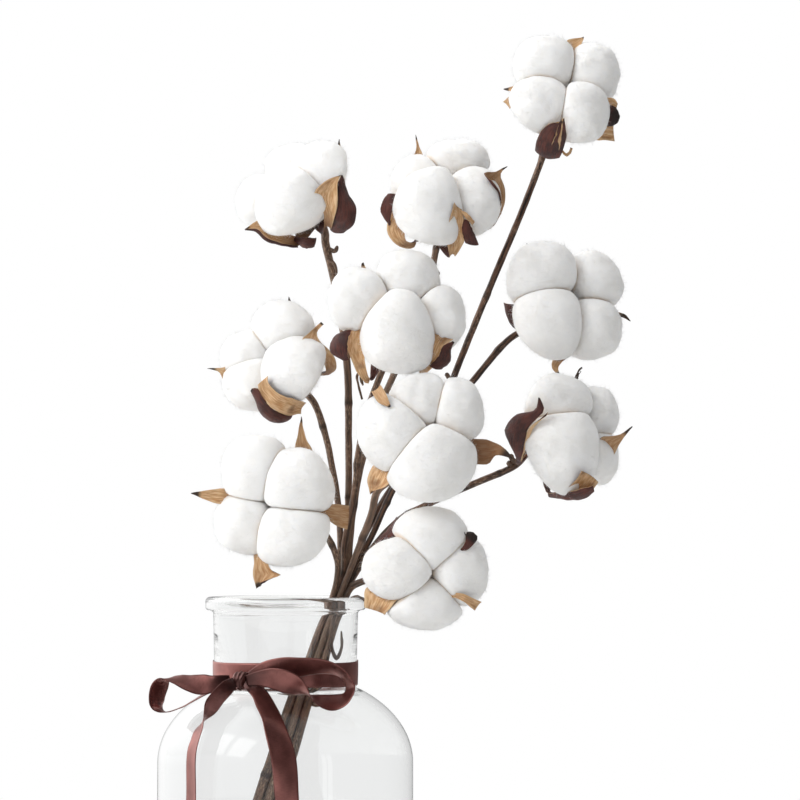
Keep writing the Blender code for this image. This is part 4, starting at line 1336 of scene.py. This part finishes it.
@dataclass
class StemMaker:
    """Builds each woody stem with its bur, from the cut end to the boll."""

    bur: BurMaker = field(default_factory=BurMaker)
    sides: int = 14
    step: float = 2.4
    rough: float = 0.10
    rough_wave: float = 1.6
    flare: float = 2.3
    flare_run: float = 2.6
    knot_spacing: float = 62.0
    knot_run: float = 1.9
    knot_swell: float = 0.6
    bud_swell: tuple[float, float] = (0.16, 0.34)
    twig_sides: int = 8
    twig_step: float = 0.7
    twig_rough: float = 0.18
    tip_share: float = 0.9

    def line(self, plan: BollPlan) -> np.ndarray:
        """Centre line and radius of the stem, from the bur's foot down to the vase's floor.

        Args:
            plan: the boll that the stem carries.

        Returns:
            An (n, 4) array of places, each with a radius.
        """
        start, foot, lead = plan.place([(0, 0, -self.bur.depth - down)
                                        for down in (-0.2, 4.0, 11.0)])
        levels = BUNDLE[plan.joins:]
        bundle = [(lv.x + plan.cell[0] * lv.pitch, lv.y + plan.cell[1] * lv.pitch * CELL_DEPTH,
                   lv.z, lv.radius) for lv in levels]
        upper = [start, foot, lead * 0.55 + foot * 0.45,
                 lead * 0.6 + np.array(plan.route[0]) * 0.4, *plan.route]
        radii = np.interp(np.arange(len(upper)) / len(upper), [0, 0.5, 1],
                          [plan.top_r, plan.mid_r, levels[0].radius])
        return smooth_line([*((*spot, r) for spot, r in zip(upper, radii)), *bundle], self.step)

    def knots(self, plan: BollPlan, length: float) -> list[tuple[float, float]]:
        """Distances of the stem's knots from its top, with the side that each bud is on.

        Args:
            plan: the boll that the stem carries.
            length: length of the stem.

        Returns:
            A (distance, angle) pair for each knot.
        """
        dice = random.Random(f"knots {plan.name}")
        spots, run = [], dice.uniform(22, 45)
        while run < length - 20:
            spots.append((run, dice.uniform(0, 2 * math.pi)))
            run += self.knot_spacing * dice.uniform(0.7, 1.3)
        return spots

    def twig(self, shape: Shape, twig: Twig, seed: float) -> None:
        """Add one side shoot as a closed tube that starts inside its stem.

        Args:
            shape: the stem's shape.
            twig: the shoot's line and thickness.
            seed: picks the noise of its bark.
        """
        line = smooth_line(twig.line, self.twig_step)

        def size(k: int, _turn: float) -> float:
            """Radius at a point of the shoot, which ends in a blunt tip.

            Args:
                k: number of the point along the shoot.
                _turn: angle round it, which changes nothing.

            Returns:
                The radius in millimetres.
            """
            share = k / (len(line) - 1)
            radius = twig.radius + (twig.end - twig.radius) * share
            radius *= 1 + self.twig_rough * ripple(line[k], 2.5, seed)
            past = share - self.tip_share
            return radius * (1 - 5 * past) if past > 0 else radius

        grid = tube(line, (0.3, 1.0, 0.2), self.twig_sides, size)
        shape.cap_ends(shape.add_grid(grid, {"knot": 0.5}, wrap=True,
                                      v_scale=len(line) * self.twig_step / V_UNIT))

    def build(self, plan: BollPlan, bark: Material, valve: Material) -> None:
        """Make one stem with its bur.

        Args:
            plan: the boll that the stem carries.
            bark: material of the stem and its shoots.
            valve: material of the bur.
        """
        line = self.line(plan)
        centres, radii = line[:, :3], line[:, 3]
        run = np.concatenate([[0], np.cumsum(hops(line))])
        knots = self.knots(plan, run[-1])
        seed = sum(map(ord, plan.name)) * 0.37
        near = [[math.exp(-((r - spot) / self.knot_run) ** 2) for spot, _ in knots] for r in run]

        def size(k: int, turn: float) -> float:
            """Radius of the stem at a point of its line, on one side.

            Args:
                k: number of the point along the stem.
                turn: angle round it.

            Returns:
                The radius in millimetres.
            """
            rough = self.rough * ripple((2.2 * math.cos(turn), 2.2 * math.sin(turn), run[k] / 4),
                                        self.rough_wave, seed)
            swell, (even, bud) = 0.0, self.bud_swell
            for close, (_, side) in zip(near[k], knots):
                swell += close * (even + bud * (0.5 + 0.5 * math.cos(turn - side)) ** 3)
            return (radii[k] * (1 + rough) + min(swell, self.knot_swell)
                    + self.flare * math.exp(-(run[k] / self.flare_run) ** 1.5))

        shape = Shape()
        tone = math.sin(seed * 12.9)
        ids = shape.add_grid(tube(centres, plan.axes()[0], self.sides, size), {
            "knot": np.array([[min(sum(row), 1.0)] for row in near]), "cut": 0.0, "tone": tone,
        }, wrap=True, v_scale=run[-1] / V_UNIT)
        shape.add_face(ids[0][::-1])
        shape.fan(ids[-1], centres[-1], cut=1.0)
        for twig in TWIGS.get(plan.name, ()):
            self.twig(shape, twig, seed)
        first_bur = len(shape.faces)
        self.bur.build(plan, shape)
        shape.slots[first_bur:] = [1] * (len(shape.faces) - first_bur)
        present(shape.build(f"stem_and_bur_{plan.name}", bark, valve, recalc=True), "stem",
                f"stem_{plan.name}")


# ---------------------------------------------------------------- cotton

@dataclass
class FuzzTree:
    """Geometry Nodes that scatter short curved fibres over a lock of cotton."""

    per_mm2: float = 0.55
    length: float = 3.2
    width: float = 0.10
    steps: int = 3
    taper: float = 0.7
    rise: float = 0.31
    reach: float = 0.78
    bend: float = 0.18
    loose_under: float = 0.5
    turn_from: tuple = (-0.5, -0.5, 0.0)
    turn_to: tuple = (0.5, 0.35, 2 * math.pi)
    sizes: tuple[float, float] = (0.35, 1.15)
    tree: NodeTree | None = None
    fibre: Object | None = None

    def make_fibre(self) -> None:
        """One fibre: a narrow strip that rises from the surface and curls over."""
        points = []
        for k in range(self.steps + 1):
            s = k / self.steps
            half = self.width / 2 / self.length * (1 - self.taper * s)
            bend, rise = self.bend * s * s, self.rise * math.sin(s * 1.9)
            points += [(self.reach * s, bend + side, rise) for side in (-half, half)]
        faces = [(a, a + 2, a + 3, a + 1) for a in range(0, 2 * self.steps, 2)]
        mesh = bpy.data.meshes.new("fibre")
        mesh.from_pydata([tuple(c * self.length * MM for c in p) for p in points], [], faces)
        self.fibre = linked("fibre", mesh)

    def build(self) -> None:
        """Build the tree with its named inputs, down to Realize Instances and Set Material."""
        self.tree = bpy.data.node_groups.new("cotton_fuzz", "GeometryNodeTree")
        for name, kind, value in (
                ("Geometry", "Geometry", None), ("Fibre", "Object", None),
                ("Fibres per square metre", "Float", self.per_mm2 / MM ** 2),
                ("Seed", "Int", 1), ("Cotton", "Material", None)):
            item = self.tree.interface.new_socket(name, in_out="INPUT",
                                                  socket_type="NodeSocket" + kind)
            if value is not None:
                item.default_value = value
        self.tree.interface.new_socket("Geometry", in_out="OUTPUT",
                                       socket_type="NodeSocketGeometry")
        n = Nodes(self.tree)
        given = n.add("NodeGroupInput").outputs
        seam = n.add("GeometryNodeInputNamedAttribute", Name="seam").outputs["Attribute"]
        loose = n.add("FunctionNodeCompare", operation="LESS_THAN", i0=seam,
                      i1=self.loose_under).outputs[0]
        spots = n.add("GeometryNodeDistributePointsOnFaces", Mesh=given["Geometry"],
                      Selection=loose, Density=given["Fibres per square metre"],
                      Seed=given["Seed"]).outputs
        fibre = n.add("GeometryNodeObjectInfo", Object=given["Fibre"]).outputs["Geometry"]
        turn = n.add("FunctionNodeRandomValue", data_type="FLOAT_VECTOR", i0=self.turn_from,
                     i1=self.turn_to, Seed=given["Seed"]).outputs[0]
        turn = n.add("FunctionNodeEulerToRotation", Euler=turn).outputs[0]
        turn = n.add("FunctionNodeRotateRotation", rotation_space="LOCAL",
                     Rotation=spots["Rotation"], Rotate_By=turn).outputs[0]
        size = n.add("FunctionNodeRandomValue", i2=self.sizes[0], i3=self.sizes[1],
                     Seed=given["Seed"]).outputs[1]
        fuzz = n.add("GeometryNodeInstanceOnPoints", Points=spots["Points"], Instance=fibre,
                     Rotation=turn, Scale=size).outputs[0]
        join = n.add("GeometryNodeJoinGeometry", Geometry=given["Geometry"])
        n.feed(join.inputs[0], fuzz)
        plain = n.add("GeometryNodeRealizeInstances", Geometry=join.outputs[0]).outputs[0]
        dressed = n.add("GeometryNodeSetMaterial", Geometry=plain, Material=given["Cotton"])
        n.add("NodeGroupOutput", i0=dressed.outputs[0])

    def dress(self, piece: Object, seed: int, cotton: Material) -> None:
        """Give one lock its fibres, and keep the result as a plain mesh.

        Args:
            piece: the lock.
            seed: picks the places of its fibres.
            cotton: material of the lock and its fibres.
        """
        modifier = piece.modifiers.new("fuzz", "NODES")
        modifier.node_group = self.tree
        values = {"Fibre": self.fibre, "Fibres per square metre": self.per_mm2 / MM ** 2,
                  "Seed": seed, "Cotton": cotton}
        for item in self.tree.interface.items_tree:
            if item.in_out == "INPUT" and item.name in values:
                modifier[item.identifier] = values[item.name]
        graph = bpy.context.evaluated_depsgraph_get()
        mesh = bpy.data.meshes.new_from_object(piece.evaluated_get(graph))
        piece.modifiers.remove(modifier)
        old, piece.data = piece.data, mesh
        mesh.name = piece.name
        bpy.data.meshes.remove(old)
        mesh.shade_smooth()


@dataclass
class CottonMaker:
    """Builds each lock of cotton: a soft pillow pressed on its neighbours and its bur."""

    bur: BurMaker = field(default_factory=BurMaker)
    power: float = 2.2
    grow_out: float = 1.0
    grow_in: float = 1.36
    soft: float = 13.0
    gap: float = -0.5
    bur_gap: float = 1.9
    detail: int = 5
    seam_wide: float = 2.4
    low_seam: float = 0.45
    pressed: float = 0.75
    ball: float = 14.0
    lumps: tuple = ((1.2, 12.0), (0.55, 5.0), (0.20, 1.9))

    def sphere(self) -> tuple[np.ndarray, list]:
        """Directions and faces of a fine ball.

        Returns:
            An (n, 3) array of unit vectors, and the point numbers of each face.
        """
        bm = bmesh.new()
        bmesh.ops.create_icosphere(bm, subdivisions=self.detail, radius=1.0)
        ways = np.array([v.co.normalized()[:] for v in bm.verts])
        faces = [[v.index for v in f.verts] for f in bm.faces]
        bm.free()
        return ways, faces

    def form(self, lock: Lock, ways: np.ndarray) -> np.ndarray:
        """Distance to the lock's own surface in each direction, before it is pressed.

        Args:
            lock: the lock.
            ways: (n, 3) unit vectors from its middle.

        Returns:
            A distance for each direction.
        """
        sizes = np.array([lock.wide, lock.tall, (lock.wide + lock.tall) / 2])
        total = (np.abs(ways / sizes) ** self.power).sum(axis=1)
        turn = math.radians(lock.angle)
        inward = 0.5 - 0.5 * (ways[:, 0] * math.cos(turn) + ways[:, 1] * math.sin(turn))
        return ((self.grow_out + (self.grow_in - self.grow_out) * inward)
                * total ** (-1 / self.power))

    def presses(self, plan: BollPlan, index: int, ways: np.ndarray) -> list[np.ndarray]:
        """Distance to each neighbour's seam and to the bur, in each direction.

        Args:
            plan: the boll.
            index: number of the lock in it.
            ways: (n, 3) unit vectors from the lock's middle.

        Returns:
            A row of distances for each neighbour, and last one for the bur.
        """
        lock = plan.locks[index]
        middle = lock.middle()
        out = []
        for other in plan.locks[:index] + plan.locks[index + 1:]:
            apart = other.middle() - middle
            way = unit(apart)
            mine, theirs = self.form(lock, way[None])[0], self.form(other, -way[None])[0]
            far = np.linalg.norm(apart) * mine / (mine + theirs) - self.gap
            lean = ways @ way
            out.append(np.where(lean > 1e-3, far / np.maximum(lean, 1e-3), 1e3))
        (x, y, z), b = ways.T, self.bur.bowl
        qa = -b * (x ** 2 + y ** 2)
        qb = z - 2 * b * (middle[0] * x + middle[1] * y)
        qc = middle[2] + self.bur.depth - b * (middle[0] ** 2 + middle[1] ** 2) - self.bur_gap
        root = np.sqrt(np.maximum(qb * qb - 4 * qa * qc, 0))
        qa = np.where(np.abs(qa) < 1e-7, -1e-7, qa)
        out.append(np.maximum((-qb - root) / (2 * qa), 0.5))
        return out

    def lock(self, plan: BollPlan, index: int, cotton: Material) -> Object:
        """One lock as a fine soft mesh, marked where it presses on something, which sets its
        painted shade in the creases.

        Args:
            plan: the boll.
            index: number of the lock in it.
            cotton: its material.

        Returns:
            The lock, without its fibres.
        """
        ways, faces = self.sphere()
        presses = self.presses(plan, index, ways)
        blend = self.form(plan.locks[index], ways) ** -self.soft
        for press in presses:
            blend = blend + press ** -self.soft
        reach = blend ** (-1 / self.soft)
        seam, low = (np.clip(1.0 - (far - reach) / self.seam_wide, 0, 1)
                     for far in (np.min(presses[:-1], axis=0), presses[-1]))
        seed = 3.1 * index + 0.7 * sum(map(ord, plan.name))
        for k, way in enumerate(ways * self.ball):
            loose = 1 - self.pressed * max(seam[k], low[k])
            reach[k] += loose * sum(tall * ripple(way, wide, seed) for tall, wide in self.lumps)
        local = plan.locks[index].middle() + ways * reach[:, None]
        # the seam mark sets the painted shade in the creases, weaker where the lock lies on the
        # bur
        seam = np.maximum(seam, self.low_seam * low)
        shape = Shape(points=plan.place(local).tolist(), marks={"seam": seam.tolist()})
        for face in faces:
            shape.add_face(face)
        return shape.build(f"cotton_lock_{plan.name}_{index + 1}", cotton)

    def build(self, plan: BollPlan, fuzz: FuzzTree, cotton: Material) -> None:
        """All the locks of one boll.

        Args:
            plan: the boll.
            fuzz: the tree that adds the fibres.
            cotton: its material.
        """
        for index in range(len(plan.locks)):
            piece = self.lock(plan, index, cotton)
            fuzz.dress(piece, 17 * index + ord(plan.name), cotton)
            present(piece, "cotton", f"cotton_{plan.name}_{index + 1}")


# ---------------------------------------------------------------- studio

@dataclass
class Studio:
    """Camera, soft lights, white surround and a pale floor."""

    eye: tuple = (57.0, -1500.0, 223.0)
    look_at: tuple = (57.0, 0.0, 289.5)
    half_frame: float = 200.0
    sensor: float = 36.0
    floor_r: float = 900.0
    floor_z: tuple = (-12.0, -0.2)
    floor_tones: tuple = (rgb(0.86, 0.86, 0.85), rgb(0.90, 0.90, 0.89))
    # For Z, X and Y: where the light starts and stops to change, and its level at both.
    soft_light: tuple = ((-0.5, 0.35, 0.58, 1.0), (0.85, -0.25, 0.73, 1.0), (-0.2, 0.5, 0.70, 1.0))
    shine: tuple = ((-0.5, 0.5, 0.3, 1.2), (0.1, -0.8, 0.30, 2.5), (-0.7, 0.4, 0.26, 0.9))
    through_glass: float = 0.88
    # Name, place and size in metres, and watts.
    soft_boxes: tuple = (("key_soft_box", (-1.3, -1.0, 1.25), 0.9, 19.5),
                         ("top_soft_box", (-0.2, 0.5, 1.7), 0.9, 7.0),
                         ("rim_soft_box", (-1.3, 0.8, 0.45), 0.8, 5.0))
    # Name, place, width and height in metres, and glow.
    cards: tuple = (("window_card", (-1.03, -0.72, 0.94), (1.15, 0.95), 3.4),
                    ("side_card", (0.9, -1.1, 0.25), (0.25, 1.1), 1.6))
    card_aim: tuple = (0.0, 0.0, 0.12)
    card_panes: tuple = (("X", 2.0), ("Y", 1.0))
    bounces: dict = field(default_factory=lambda: {
        "max_bounces": 24, "glossy_bounces": 16, "transmission_bounces": 24})

    def camera(self) -> None:
        """A long lens in front, a little lower than the middle of the bunch."""
        data = bpy.data.cameras.new("front_camera")
        cam = linked("front_camera", data)
        eye, target = Vector(self.eye), Vector(self.look_at)
        aim(cam, eye * MM, target * MM)
        data.sensor_width = self.sensor
        data.lens = self.sensor / 2 * (target - eye).length / self.half_frame
        data.clip_start, data.clip_end = 0.05, 20.0
        bpy.context.scene.camera = cam

    def light(self, name: str, at: tuple, size: float, watts: float) -> None:
        """One square soft box, aimed at the middle of the bunch and not seen in the glass.

        Args:
            name: name of the lamp.
            at: its place in metres.
            size: length of its side in metres.
            watts: its power.
        """
        data = bpy.data.lights.new(name, "AREA")
        data.shape, data.size, data.energy = "SQUARE", size, watts
        lamp = linked(name, data)
        aim(lamp, at, Vector(self.look_at) * MM)
        lamp.visible_glossy = lamp.visible_transmission = False

    def card(self, name: str, at: tuple, size: tuple, glow: float) -> None:
        """A glowing panel of panes with faded edges, seen only as a soft shine.

        Args:
            name: name of the card.
            at: its middle, in metres.
            size: width and height in metres.
            glow: strength at its middle.
        """
        wide, tall = (d / MM / 2 for d in size)
        shape = Shape()
        shape.add_grid(np.array([[(x, y, 0.0) for x in (-wide, wide)] for y in (-tall, tall)]))
        n = Paint(name)
        n.tree.nodes.remove(n.shader)
        split = n.add("SeparateXYZ", Vector=n.coords("UV")).outputs
        level = []
        for axis, panes in self.card_panes:
            wave = n.math("FRACT", n.math("MULTIPLY", split[axis], panes))
            level.append(n.ramp(n.math("ABSOLUTE", n.math("SUBTRACT", wave, 0.5)), 0.5, 0.30))
        level = n.math("MULTIPLY", n.math("MULTIPLY", *level), glow)
        shine = n.add("AddShader", i0=n.add("Emission", Strength=level).outputs[0],
                      i1=n.add("BsdfTransparent").outputs[0])
        n.feed(n.tree.nodes["Material Output"].inputs[0], shine.outputs[0])
        panel = shape.build(name, n.mat)
        aim(panel, at, self.card_aim)
        panel.visible_camera = panel.visible_diffuse = panel.visible_shadow = False
        panel.visible_transmission = False

    def surround(self) -> None:
        """White behind everything; its light is strongest from the left and above."""
        world = bpy.data.worlds.new("surround")
        bpy.context.scene.world = world
        world.use_nodes = True
        n = Nodes(world.node_tree)
        split = n.add("SeparateXYZ", Vector=n.coords("Generated")).outputs
        levels = []
        for ranges in (self.soft_light, self.shine):
            level = 1.0
            for axis, steps in zip("ZXY", ranges):
                level = n.math("MULTIPLY", level, n.ramp(split[axis], *steps))
            levels.append(level)
        path = n.add("LightPath").outputs
        level = levels[0]
        for ray, glow in (("Is Glossy Ray", levels[1]),
                          ("Is Transmission Ray", self.through_glass), ("Is Camera Ray", 1.0)):
            level = n.add("Mix", Factor=path[ray], A=level, B=glow).outputs["Result"]
        n.feed(n.tree.nodes["Background"].inputs["Color"], level)

    def floor(self) -> None:
        """A pale round table top under the vase."""
        shape = Shape()
        rim = circle(self.floor_r, 96)
        shape.cap_ends(shape.add_grid(np.array([[(x, y, z) for x, y in rim]
                                                for z in self.floor_z]), wrap=True))
        n = Paint("pale_floor")
        cloud = n.grain(n.coords("Object"), 3.0)
        n.set(Base_Color=n.mix(cloud, *self.floor_tones), Roughness=0.7)
        shape.build("pale_floor", n.mat, recalc=True)

    def build(self) -> None:
        """Set the whole studio up."""
        self.camera()
        self.surround()
        self.floor()
        for row in self.soft_boxes:
            self.light(*row)
        for row in self.cards:
            self.card(*row)
        bpy.context.scene.view_settings.view_transform = "Standard"
        for name, count in self.bounces.items():
            setattr(bpy.context.scene.cycles, name, count)


def main() -> None:
    """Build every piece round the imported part."""
    logging.basicConfig(level=logging.INFO, format="%(name)s: %(message)s")
    for obj in list(bpy.data.objects):
        bpy.data.objects.remove(obj, do_unlink=True)
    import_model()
    Studio().build()
    cotton, satin = CottonFinish().material(), SatinFinish().material()
    bark, valve = BarkFinish().material(), BurFinish().material()
    bottle = Bottle()
    bottle.build(GlassFinish().material())
    Bow().build(bottle, satin)
    stems, locks, fuzz = StemMaker(), CottonMaker(), FuzzTree()
    fuzz.make_fibre()
    fuzz.build()
    for plan in BOLLS:
        stems.build(plan, bark, valve)
        locks.build(plan, fuzz, cotton)
    bpy.data.objects.remove(fuzz.fibre, do_unlink=True)


if __name__ == "__main__":
    main()
